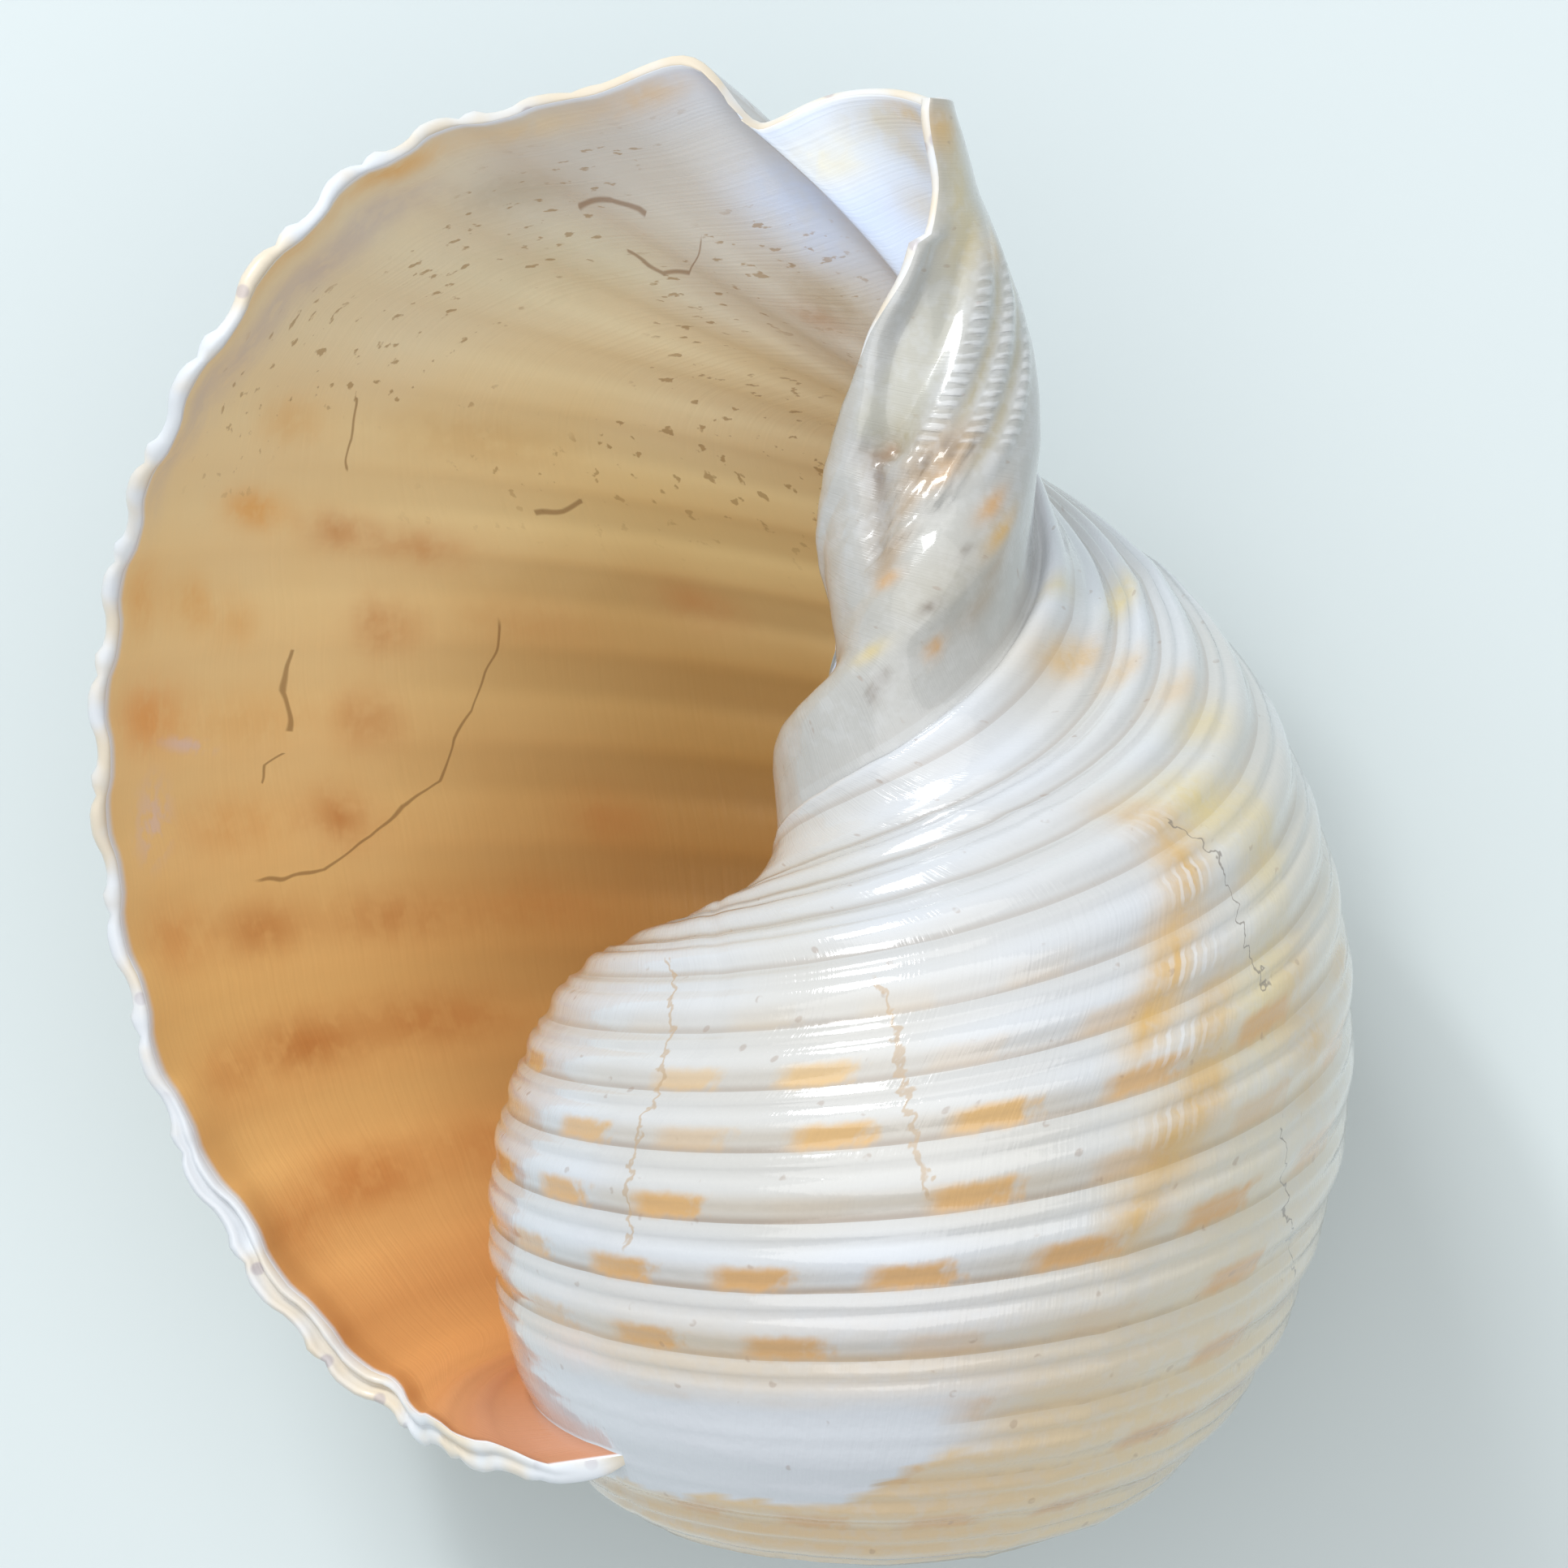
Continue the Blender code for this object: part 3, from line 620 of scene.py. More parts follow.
@dataclass
class TunShell:
    """The whole shell as one closed mesh."""

    wall: Wall = field(default_factory=Wall)
    stains_and_shade: StainsAndShade = field(default_factory=StainsAndShade)
    name: str = "tun_shell"
    row_step: float = 3.5
    lip_rows: tuple[float, ...] = (0.0, 0.4, 0.9, 1.5, 2.2, 3.0, 4.0, 5.2, 6.6, 8.0, 9.5)
    spire_turn: float = 1140.0
    core_start: float = 90.0
    core_steps: int = 12
    columns_per_rib: int = 12
    canal_step: float = 0.95 * MM
    neck_step: float = 0.5 * MM
    neck_rib: float = 8.9
    canal_knot: float = 13.6
    rim_steps: int = 10
    roundness: float = 0.65
    landing_columns: int = 2
    weld: float = 0.012 * MM
    pitch: float = 17.3
    roll: float = 3.4
    origin: tuple[float, float, float] = (11.0 * MM, -62.3132 * MM, 39.7948 * MM)
    columns: Array = field(init=False)
    landing: int = field(init=False)
    rows: Array = field(init=False)

    def __post_init__(self) -> None:
        """Lay out the rows and columns of the mesh."""
        lip = self.wall.lip
        first = math.ceil(float(lip.rib_count(np.array(0.3))) * self.columns_per_rib)
        last = math.floor(float(lip.rib_count(np.array(self.canal_knot))) * self.columns_per_rib)
        ribbed = lip.knot_of_rib(np.arange(first, last + 1) / self.columns_per_rib)
        self.landing = int(np.argmin(np.abs(ribbed - lip.suture_knot))) + 1
        ribbed[self.landing - 1] = lip.suture_knot
        start = float(lip.rib_count(ribbed[-1]))
        end = float(lip.rib_count(np.array(lip.end)))
        coarse = round((self.neck_rib - start) * lip.rib_pitch / self.canal_step)
        fine = round((end - self.neck_rib) * lip.rib_pitch / self.neck_step)
        canal = np.concatenate([np.linspace(start, self.neck_rib, coarse + 1)[1:],
                                np.linspace(self.neck_rib, end, fine + 1)[1:]])
        self.columns = np.concatenate([[0.0], ribbed, lip.knot_of_rib(canal)])
        self.columns[-1] = lip.end
        lead = 360.0 - lip.suture_lead
        even = np.arange(self.lip_rows[-1] + self.row_step, lead - 1.0, self.row_step)
        self.rows = np.concatenate([self.lip_rows, even])

    @property
    def shift(self) -> int:
        """Rows between a place on the suture and the older stage that it lies on."""
        return len(self.rows)

    def turns(self, first: int, last: int) -> Array:
        """Turns of the rows from first to last, where row 0 is the lip and older rows are negative."""
        lead = 360.0 - self.wall.lip.suture_lead
        back = -np.arange(first, last + 1)
        return -(self.rows[back % self.shift] + lead * (back // self.shift))

    def row_at(self, turn: float) -> int:
        """How many rows behind the lip a turn lies."""
        back = 0
        while -self.turns(-back, -back)[0] < turn:
            back += 1
        return back

    def outer(self, first: int, last: int, knots: Array) -> Array:
        """Points of the outer face. Its suture edge lies exactly on the whorl before."""
        turns = self.turns(first, last)[:, None]
        face = self.wall.outer(knots[None, :] + 0.0 * turns, turns + 0.0 * knots[None, :])
        if knots[0] == 0.0:
            face[:, 0] = self.weld_line(first, last, self.landing)
        return face

    def weld_line(self, first: int, last: int, column: int) -> Array:
        """Points of the whorl before on which the rows end."""
        older = self.turns(first - self.shift, last - self.shift)
        return self.wall.outer(self.columns[column] + 0.0 * older, older)

    def inner(self, first: int, last: int, inside: int) -> Array:
        """Points of the inner face, which runs into the whorl before by the suture."""
        turns = self.turns(first, last)[:, None]
        knots = self.columns[None, :] + 0.0 * turns
        face = self.wall.inner(knots, turns + 0.0 * knots)
        weld = self.weld_line(first, last, inside)
        free = int(np.argmax(self.columns >= 1.1))
        for column in range(free):
            share = self.columns[column] / self.columns[free]
            face[:, column] = weld + (face[:, free] - weld) * share
        return face

    def rim(self, outer_edge: Array, inner_edge: Array) -> Array:
        """Round the lip from the outer face to the inner face.

        Args:
            outer_edge: Points of the outer face at the lip.
            inner_edge: Points of the inner face at the lip.

        Returns:
            Rows of points from the outer edge to the inner edge.
        """
        wall = self.wall
        forward = wall.forward(self.columns, 0.0 * self.columns)
        gap = np.linalg.norm(inner_edge - outer_edge, axis=1)
        count = wall.lip.rib_count(self.columns)
        fold = (1.0 - fade(count, -4.6, -3.0)) * fade(self.columns, 0.8, 2.0)
        chips = 1.0 + 0.18 * wall.edge.at(count / 1.3, count * 0.0)
        chips = chips + 0.3 * wall.rib_shape(self.columns, 0.0 * count)
        chips = chips * (1.0 - fade(self.columns, 17.7, 18.0))
        rows = []
        for share in np.linspace(0.0, 1.0, self.rim_steps + 1):
            arch = math.sin(math.pi * share) ** self.roundness
            groove = 0.55 * fold * float(bell(share, 0.55, 0.17))
            bulge = gap * (0.32 * arch * chips - groove * arch)
            rows.append(outer_edge + (inner_edge - outer_edge) * share + forward * bulge[:, None])
        return np.stack(rows)

    def canal_edge(self, outer_edge: Array, inner_edge: Array, turns: Array) -> Array:
        """Round the free edge of the canal in the same number of steps as the lip."""
        across = self.wall.smooth(self.wall.lip.end + 0.0 * turns, turns)
        across = across - self.wall.smooth(self.wall.lip.end - 0.05 + 0.0 * turns, turns)
        across = across / np.linalg.norm(across, axis=-1, keepdims=True)
        gap = np.linalg.norm(inner_edge - outer_edge, axis=1)
        gap = gap * fade(-turns, 0.0, 4.0) * (1.0 - fade(-turns, -turns.min() - 6.0, -turns.min()))
        rows = []
        for share in np.linspace(0.0, 1.0, self.rim_steps + 1):
            arch = 0.35 * math.sin(math.pi * share) ** self.roundness
            rows.append(outer_edge + (inner_edge - outer_edge) * share + across * (gap * arch)[:, None])
        return np.stack(rows)

    @staticmethod
    def round_blend(start: Array, end: Array, share: float) -> Array:
        """Go from start to end round the axis: radius, height and azimuth change evenly."""
        radius_a, radius_b = np.hypot(start[..., 0], start[..., 2]), np.hypot(end[..., 0], end[..., 2])
        angle_a = np.arctan2(start[..., 2], start[..., 0])
        angle_b = np.arctan2(end[..., 2], end[..., 0])
        swing = (angle_b - angle_a + math.pi) % (2.0 * math.pi) - math.pi
        radius = radius_a + (radius_b - radius_a) * share
        along = start[..., 1] + (end[..., 1] - start[..., 1]) * share
        angle = angle_a + swing * share
        return np.stack([radius * np.cos(angle), along, radius * np.sin(angle)], axis=-1)

    def add_patch(self, bm: bmesh.types.BMesh, points: Array, growth: Array, side: Side,
                  glaze: Array | None = None) -> None:
        """Add one sheet of faces.

        Args:
            bm: Mesh to add to.
            points: Places of the corners, by row and column.
            growth: Turn and rib count of each corner, for the materials.
            side: Which face of the wall the sheet is.
            glaze: Share of enamel at each corner.
        """
        rows, columns = points.shape[:2]
        made = bmesh.ops.create_grid(bm, x_segments=columns - 1, y_segments=rows - 1, size=1.0)
        corners = sorted(made["verts"], key=lambda v: (round(v.co.y, 5), round(v.co.x, 5)))
        stage = bm.loops.layers.uv["growth"]
        cover = bm.loops.layers.uv["cover"]
        stain_and_shade = bm.loops.layers.float_color["stain_and_shade"]
        flat_growth = growth.reshape(-1, 2)
        flat_stain_and_shade = self.stains_and_shade.paint(side, flat_growth[:, 0] * GROWTH_UNIT, flat_growth[:, 1])
        flat_cover = np.zeros(rows * columns) if glaze is None else glaze.reshape(-1)
        number = {}
        faces = set()
        for k, (corner, point) in enumerate(zip(corners, points.reshape(-1, 3))):
            corner.co = point
            number[corner] = k
            faces.update(corner.link_faces)
        for face in faces:
            face.material_index = side.value
            face.smooth = True
            for loop in face.loops:
                k = number[loop.vert]
                loop[stage].uv = flat_growth[k]
                loop[cover].uv = (flat_cover[k], side.value)
                loop[stain_and_shade] = flat_stain_and_shade[k]

    def label(self, turns: Array, counts: Array) -> Array:
        """Turn and rib count for a sheet, in the units of the growth map."""
        rows = np.broadcast_to(turns[:, None], (len(turns), len(counts)))
        across = np.broadcast_to(counts[None, :], rows.shape)
        return np.stack([rows / GROWTH_UNIT, across], axis=-1)

    @staticmethod
    def add_fan(bm: bmesh.types.BMesh, ring: Array, centre: Sequence[float]) -> None:
        """Close a ring of points with triangles to one centre."""
        middle = bm.verts.new(centre)
        corners = [bm.verts.new(point) for point in ring]
        for k, corner in enumerate(corners):
            face = bm.faces.new((corner, corners[(k + 1) % len(corners)], middle))
            face.smooth = True

    def add_outside(self, bm: bmesh.types.BMesh, first: int, last: int, knots: Array) -> Array:
        """Add a sheet of the outside and give back its points."""
        wall = self.wall
        points = self.outer(first, last, knots)
        turns = self.turns(first, last)
        glaze = wall.glaze(knots[None, :] + 0.0 * turns[:, None], turns[:, None] + 0.0 * knots[None, :])
        self.add_patch(bm, points, self.label(turns, wall.lip.rib_count(knots)), Side.OUTSIDE, glaze)
        return points

    def surface(self) -> bmesh.types.BMesh:
        """Build the closed surface in the shell's own axes."""
        bm = bmesh.new()
        bm.loops.layers.uv.new("growth")
        bm.loops.layers.uv.new("cover")
        bm.loops.layers.float_color.new("stain_and_shade")
        wall, columns, landing, shift = self.wall, self.columns, self.landing, self.shift
        counts = wall.lip.rib_count(columns)
        inside = landing + self.landing_columns
        spire = self.row_at(self.spire_turn)
        core = self.row_at(self.core_start)

        # outside of the last whorl, of the spire, and of the whorl that shows in the mouth
        body = self.add_outside(bm, -shift, 0, columns)
        self.add_outside(bm, -spire, -shift, columns[:landing + 1])
        older = self.add_outside(bm, -2 * shift, -shift, columns[inside:])
        hollow = self.inner(-shift, 0, inside)
        self.add_patch(bm, hollow, self.label(self.turns(-shift, 0), counts), Side.MOUTH)

        # lip, and the free edge of the siphonal canal
        rim = self.rim(body[-1], hollow[-1])
        steps = np.linspace(0.0, float(self.landing_columns), len(rim))
        rim[:, 0] = [body[0, landing + round(step)] for step in steps]
        self.add_patch(bm, rim, self.label(np.zeros(len(rim)), counts), Side.LIP)
        tip_outer = np.concatenate([older[:-1, -1], body[:, -1]])
        tip_inner = hollow[:, -1]
        tip_turns = self.turns(-core, 0)
        edge = self.canal_edge(tip_outer[-core - 1:], tip_inner[-core - 1:], tip_turns)
        edge_label = self.label(tip_turns, counts[-1:])[:, 0]
        self.add_patch(bm, edge, np.stack([edge_label] * len(edge)), Side.LIP)

        # columella: its face in the hollow, its foot and its front
        shares = np.linspace(0.0, 1.0, self.core_steps + 1)
        start = tip_inner[:shift - core + 1]
        end = tip_outer[:shift - core + 1]
        across = counts[-1] + 0.0 * shares
        self.add_patch(bm, np.stack([self.round_blend(start, end, share) for share in shares], axis=1),
                       self.label(self.turns(-shift, -core), across), Side.MOUTH)
        front = np.stack([self.round_blend(start[-1], end[-1], share) for share in shares])
        axis = front * (0.0, 1.0, 0.0)
        at_core = self.turns(-core, -core)
        self.add_patch(bm, np.stack([front, axis]),
                       self.label(np.concatenate([at_core, at_core]), across), Side.MOUTH)
        corner = bm.faces.new([bm.verts.new(point) for point in (*edge[:, 0], axis[0])])
        corner.smooth = True
        foot = tip_outer[shift - core:2 * shift - core + 1][::-1]
        inner_end = axis[np.round(np.arange(shift + 1) / shift * self.core_steps).astype(int)]
        self.add_patch(bm, np.stack([foot, inner_end]),
                       np.stack([self.label(self.turns(-core - shift, -core), counts[-1:])[::-1, 0]] * 2),
                       Side.OUTSIDE)

        # end of the hollow
        wall_ring = hollow[0][inside:]
        last_ring = older[0]
        oldest = self.turns(-shift, -shift).repeat(len(shares))
        self.add_patch(bm, np.stack([self.round_blend(wall_ring, last_ring, share) for share in shares]),
                       self.label(oldest, counts[inside:]), Side.MOUTH)
        corner_row = np.stack([self.round_blend(wall_ring[0], last_ring[0], share) for share in shares])
        pocket = np.concatenate([hollow[0][:inside], corner_row[:-1]])
        self.add_fan(bm, pocket, pocket.mean(axis=0))

        # tip of the spire
        head = self.outer(-spire, -spire, columns[:landing + 1])[0]
        seam = self.outer(-spire, -spire + shift, columns[:1])[:, 0]
        self.add_fan(bm, np.concatenate([seam[:-1], head[:0:-1]]), (0.0, 0.0, 0.0))

        bmesh.ops.remove_doubles(bm, verts=bm.verts, dist=self.weld)
        bmesh.ops.dissolve_degenerate(bm, edges=bm.edges, dist=self.weld)
        bmesh.ops.recalc_face_normals(bm, faces=bm.faces)
        return bm

    def lay_down(self, bm: bmesh.types.BMesh) -> None:
        """Turn the shell onto its back and wear it flat where it touches the table."""
        turn = Matrix.Rotation(math.radians(self.pitch), 4, "X")
        turn = turn @ Matrix.Rotation(math.radians(self.roll), 4, "Y")
        bmesh.ops.transform(bm, matrix=Matrix.Translation(self.origin) @ turn, verts=bm.verts)
        cut = bmesh.ops.bisect_plane(bm, geom=bm.verts[:] + bm.edges[:] + bm.faces[:], dist=0.0,
                                     plane_co=(0.0, 0.0, 0.0), plane_no=(0.0, 0.0, -1.0),
                                     clear_outer=True)
        rims = [thing for thing in cut["geom_cut"] if isinstance(thing, bmesh.types.BMEdge)]
        bmesh.ops.holes_fill(bm, edges=rims, sides=0)

    def build(self, finishes: Sequence[bpy.types.Material]) -> bpy.types.Object:
        """Make the piece.

        Args:
            finishes: One material for each side of the wall.

        Returns:
            The shell's object, in place on the table.
        """
        bm = self.surface()
        self.lay_down(bm)
        open_edges = sum(1 for edge in bm.edges if len(edge.link_faces) != 2)
        mesh = bpy.data.meshes.new(self.name)
        bm.to_mesh(mesh)
        bm.free()
        for finish in finishes:
            mesh.materials.append(finish)
        shell = bpy.data.objects.new(self.name, mesh)
        bpy.context.scene.collection.objects.link(shell)
        mesh.calc_loop_triangles()
        LOG.info("%s: %d triangles, %d open edges", self.name, len(mesh.loop_triangles), open_edges)
        return shell


class Flow:
    """A number or a colour on its way through a material's nodes."""

    def __init__(self, nodes: "Nodes", socket: bpy.types.NodeSocket) -> None:
        """Keep the socket and the material that it is in."""
        self.nodes = nodes
        self.socket = socket

    def math(self, operation: str, other: Any = None, swap: bool = False) -> "Flow":
        """Add a Math node.

        Args:
            operation: The node's operation.
            other: Second operand.
            swap: Put the second operand first.

        Returns:
            The node's result.
        """
        values = {0: other, 1: self} if swap else {0: self}
        if other is not None and not swap:
            values[1] = other
        return self.nodes.node("ShaderNodeMath", {"operation": operation}, values)

    def __add__(self, other: Any) -> "Flow":
        """Sum."""
        return self.math("ADD", other)

    __radd__ = __add__

    def __sub__(self, other: Any) -> "Flow":
        """Difference."""
        return self.math("SUBTRACT", other)

    def __rsub__(self, other: Any) -> "Flow":
        """Difference from a number."""
        return self.math("SUBTRACT", other, swap=True)

    def __mul__(self, other: Any) -> "Flow":
        """Product."""
        return self.math("MULTIPLY", other)

    __rmul__ = __mul__

    def __truediv__(self, other: Any) -> "Flow":
        """Quotient."""
        return self.math("DIVIDE", other)

    def __abs__(self) -> "Flow":
        """Size without the sign."""
        return self.math("ABSOLUTE")

    def step(self, start: float, end: float) -> "Flow":
        """Smooth step from 0 at start to 1 at end, where end may be the smaller."""
        low, high, first, last = (start, end, 0.0, 1.0) if start < end else (end, start, 1.0, 0.0)
        return self.nodes.node("ShaderNodeMapRange", {"interpolation_type": "SMOOTHSTEP"},
                               {"Value": self, "From Min": low, "From Max": high,
                                "To Min": first, "To Max": last})

    def bell(self, middle: float, width: float) -> "Flow":
        """1 at the middle, 0 beyond the width."""
        return abs(self - middle).step(width, 0.0)


class Nodes:
    """A material's node tree, with the few calls that its recipes need."""

    def __init__(self, name: str) -> None:
        """Start an empty material."""
        self.material = bpy.data.materials.new(name)
        self.material.use_nodes = True
        self.tree = self.material.node_tree
        self.tree.nodes.clear()

    def node(self, kind: str, settings: dict[str, Any], values: dict[Any, Any], output: int = 0) -> Flow:
        """Add one node.

        Args:
            kind: The node's type.
            settings: Properties, set first.
            values: Numbers or links, by socket name or number.
            output: Which output to give back.

        Returns:
            The chosen output.
        """
        made = self.tree.nodes.new(kind)
        for key, value in settings.items():
            setattr(made, key, value)
        for key, value in values.items():
            socket = made.inputs[key]
            if isinstance(value, Flow):
                self.tree.links.new(value.socket, socket)
            elif isinstance(value, tuple) and len(value) == 3 and socket.type == "RGBA":
                socket.default_value = (*value, 1.0)
            else:
                socket.default_value = value
        return Flow(self, made.outputs[output])

    def growth(self) -> tuple[Flow, Flow]:
        """Turn in degrees and rib count at the shaded point."""
        place = self.node("ShaderNodeUVMap", {"uv_map": "growth"}, {})
        split = self.tree.nodes.new("ShaderNodeSeparateXYZ")
        self.tree.links.new(place.socket, split.inputs[0])
        return Flow(self, split.outputs[0]) * GROWTH_UNIT, Flow(self, split.outputs[1])

    def cover(self) -> Flow:
        """Share of enamel at the shaded point."""
        place = self.node("ShaderNodeUVMap", {"uv_map": "cover"}, {})
        return self.node("ShaderNodeSeparateXYZ", {}, {0: place})

    def stain_and_shade(self) -> tuple[Flow, Flow]:
        """Colour and strength of the stained colours and painted shade at the shaded point."""
        made = self.node("ShaderNodeAttribute", {"attribute_name": "stain_and_shade"}, {})
        return made, Flow(self, made.socket.node.outputs["Alpha"])

    def place(self) -> Flow:
        """The shaded point in the object's own axes, in millimetres."""
        return self.vector_math("SCALE", self.node("ShaderNodeTexCoord", {}, {}, output=3), scale=1.0 / MM)

    def vector(self, x: Any, y: Any, z: Any = 0.0) -> Flow:
        """Join three numbers."""
        return self.node("ShaderNodeCombineXYZ", {}, {0: x, 1: y, 2: z})

    def vector_math(self, operation: str, first: Any, second: Any = None, output: int = 0,
                    scale: Any = None) -> Flow:
        """Add a Vector Math node."""
        values: dict[Any, Any] = {0: first}
        if second is not None:
            values[1] = second
        if scale is not None:
            values["Scale"] = scale
        return self.node("ShaderNodeVectorMath", {"operation": operation}, values, output)

    def noise(self, at: Flow, scale: float, detail: float = 2.0, roughness: float = 0.5) -> Flow:
        """Smooth noise around 0.5."""
        return self.node("ShaderNodeTexNoise", {}, {"Vector": at, "Scale": scale, "Detail": detail,
                                                   "Roughness": roughness})

    def noise_flat(self, at: Flow, scale: float, detail: float = 1.0) -> Flow:
        """Smooth noise around 0.5 on a flat pattern."""
        return self.node("ShaderNodeTexNoise", {"noise_dimensions": "2D"},
                         {"Vector": at, "Scale": scale, "Detail": detail})

    def cells(self, at: Flow, scale: float) -> Flow:
        """Distance to the nearest of many points scattered on a flat pattern."""
        return self.node("ShaderNodeTexVoronoi", {"voronoi_dimensions": "2D"}, {"Vector": at, "Scale": scale})

    def chance(self, x: Any, y: Any) -> Flow:
        """An even random number for each pair of whole numbers."""
        return self.node("ShaderNodeTexWhiteNoise", {"noise_dimensions": "2D"}, {"Vector": self.vector(x, y)})

    def mix(self, factor: Any, first: Any, second: Any) -> Flow:
        """Mix two colours."""
        made = self.tree.nodes.new("ShaderNodeMix")
        made.data_type = "RGBA"
        for key, value in ((0, factor), (6, first), (7, second)):
            if isinstance(value, Flow):
                self.tree.links.new(value.socket, made.inputs[key])
            else:
                made.inputs[key].default_value = value if key == 0 else (*value, 1.0)
        return Flow(self, made.outputs[2])

    def ramp(self, factor: Flow, stops: Sequence[tuple[float, Tint]]) -> Flow:
        """Read a colour ramp.

        Args:
            factor: Where to read it, from 0 to 1.
            stops: Place and colour of each stop.

        Returns:
            The colour.
        """
        made = self.node("ShaderNodeValToRGB", {}, {0: factor})
        band = made.socket.node.color_ramp
        band.interpolation = "EASE"
        while len(band.elements) < len(stops):
            band.elements.new(0.5)
        for element, (place, tint) in zip(band.elements, stops):
            element.position = place
            element.color = (*tint, 1.0)
        return made

    def trail(self, at: Flow, points: Sequence[tuple[float, float]], width: float) -> Flow:
        """Mask of a thin line that wanders along a chord.

        Args:
            at: Place in the plane of the points.
            points: The line's corners, in order along the chord.
            width: Half width at which the mask has fallen to 0.

        Returns:
            1 on the line, 0 off it.
        """
        corners = np.array(points, dtype=float)
        chord = corners[-1] - corners[0]
        length = float(np.hypot(*chord))
        along = chord / length
        aside = np.array([-along[1], along[0]])
        places = (corners - corners[0]) @ along / length
        offsets = (corners - corners[0]) @ aside
        reach = float(np.abs(offsets).max()) + 0.01
        start = self.vector_math("SUBTRACT", at, (*corners[0], 0.0))
        share = self.vector_math("DOT_PRODUCT", start, (*(along / length), 0.0), output=1)
        side = self.vector_math("DOT_PRODUCT", start, (*aside, 0.0), output=1)
        curve = self.tree.nodes.new("ShaderNodeFloatCurve")
        self.tree.links.new(share.socket, curve.inputs["Value"])
        line = curve.mapping.curves[0]
        while len(line.points) < len(corners):
            line.points.new(0.5, 0.5)
        for point, place, offset in zip(line.points, places, offsets):
            point.location = (place, 0.5 + 0.5 * offset / reach)
            point.handle_type = "VECTOR"
        curve.mapping.update()
        centre = Flow(self, curve.outputs[0]) * (2.0 * reach) - reach
        slope = float(np.hypot(1.0, np.abs(np.diff(offsets) / np.diff(places * length)).mean()))
        inside = abs(share - 0.5).step(0.5, 0.47)
        return abs(side - centre).step(width * slope, width * 0.3) * inside

    def trails(self, at: Flow, lines: Sequence[tuple[Sequence[tuple[float, float]], float]]) -> Flow:
        """Mask of several trails, each given with its half width."""
        masks = [self.trail(at, points, width) for points, width in lines]
        total = masks[0]
        for mask in masks[1:]:
            total = total.math("MAXIMUM", mask)
        return total

    def blot(self, at: Flow, centre: tuple[float, float, float], size: tuple[float, float, float]) -> Flow:
        """Soft spot round a centre, in millimetres: 1 in the middle, 0 beyond its size."""
        offset = self.vector_math("SUBTRACT", at, centre)
        scaled = self.vector_math("DIVIDE", offset, size)
        return self.vector_math("LENGTH", scaled, output=1).step(1.0, 0.0)

    def finish(self, colour: Any, roughness: Any, bump: Flow | None = None, depth: float = 0.0,
               coat: float = 0.0) -> bpy.types.Material:
        """Close the material with one principled surface.

        Args:
            colour: Base colour.
            roughness: Roughness.
            bump: Height field, or None.
            depth: Height of the field's full range, in metres.
            coat: Coat weight.

        Returns:
            The finished material.
        """
        values: dict[Any, Any] = {"Base Color": colour, "Roughness": roughness, "Coat Weight": coat,
                                  "Coat Roughness": 0.08, "IOR": 1.5}
        if bump is not None:
            values["Normal"] = self.node("ShaderNodeBump", {}, {"Height": bump, "Distance": depth,
                                                                "Strength": 1.0})
        surface = self.node("ShaderNodeBsdfPrincipled", {}, values)
        output = self.tree.nodes.new("ShaderNodeOutputMaterial")
        self.tree.links.new(surface.socket, output.inputs["Surface"])
        return self.material


@dataclass(frozen=True)
class Tints:
    """Display colours of the shell, with those of its painted shade and highlights, as linear values."""

    white: Tint = linear(232, 237, 243)
    cream: Tint = linear(228, 222, 208)
    honey: Tint = linear(214, 178, 104)
    orange: Tint = linear(202, 156, 78)
    low_dash: Tint = linear(194, 144, 68)
    # painted shade: the grey that darkens the grooves of the ribs
    groove: Tint = linear(206, 202, 192)
    shade: Tint = linear(150, 122, 90)
    underside: Tint = linear(226, 200, 158)
    # painted glint colour for short light ticks on the crests
    glint: Tint = linear(214, 218, 222)
    # painted highlight on the beads of the neck's ridges
    bead_highlight: Tint = linear(222, 224, 226)
    brown: Tint = linear(128, 94, 62)
    crack: Tint = linear(96, 84, 70)
    seam: Tint = linear(168, 136, 90)
    rose: Tint = linear(192, 136, 106)
    # painted shade of the ribs inside the mouth
    band: Tint = linear(142, 108, 66)
    fleck: Tint = linear(158, 124, 74)
    worm: Tint = linear(132, 92, 52)
    scar: Tint = linear(238, 212, 204)
    lip: Tint = linear(212, 216, 220)
    lip_warm: Tint = linear(214, 198, 170)
    violet: Tint = linear(156, 146, 158)


@dataclass(frozen=True)
class Dashes:
    """Rows of soft dashes along the ribs, which also show through the wall inside."""

    turn: float = 21.0
    shift: float = 0.29
    length: tuple[float, float] = (0.35, 0.14)
    height: tuple[float, float] = (0.26, 0.09)

    def mask(self, n: Nodes, turn: Flow, count: Flow, fuzz: Flow) -> Flow:
        """Share of the dash colour.

        Args:
            n: Material to add to.
            turn: Turn at the shaded point.
            count: Phase of the ribs there.
            fuzz: Noise around 0.5 that frays the edges.

        Returns:
            The mask, from 0 to 1.
        """
        row = (count + self.shift).math("ROUND")
        across = abs(count + self.shift - row)
        along = turn / self.turn + n.chance(row, 3.0) + fuzz * 0.2
        cell = along.math("FLOOR")
        inside = abs(along - cell - 0.5) + fuzz * 0.1 - 0.05
        strength = n.chance(cell, row + 11.0).step(-0.05, 0.7)
        return inside.step(*self.length) * (across + fuzz * 0.1 - 0.05).step(*self.height) * strength


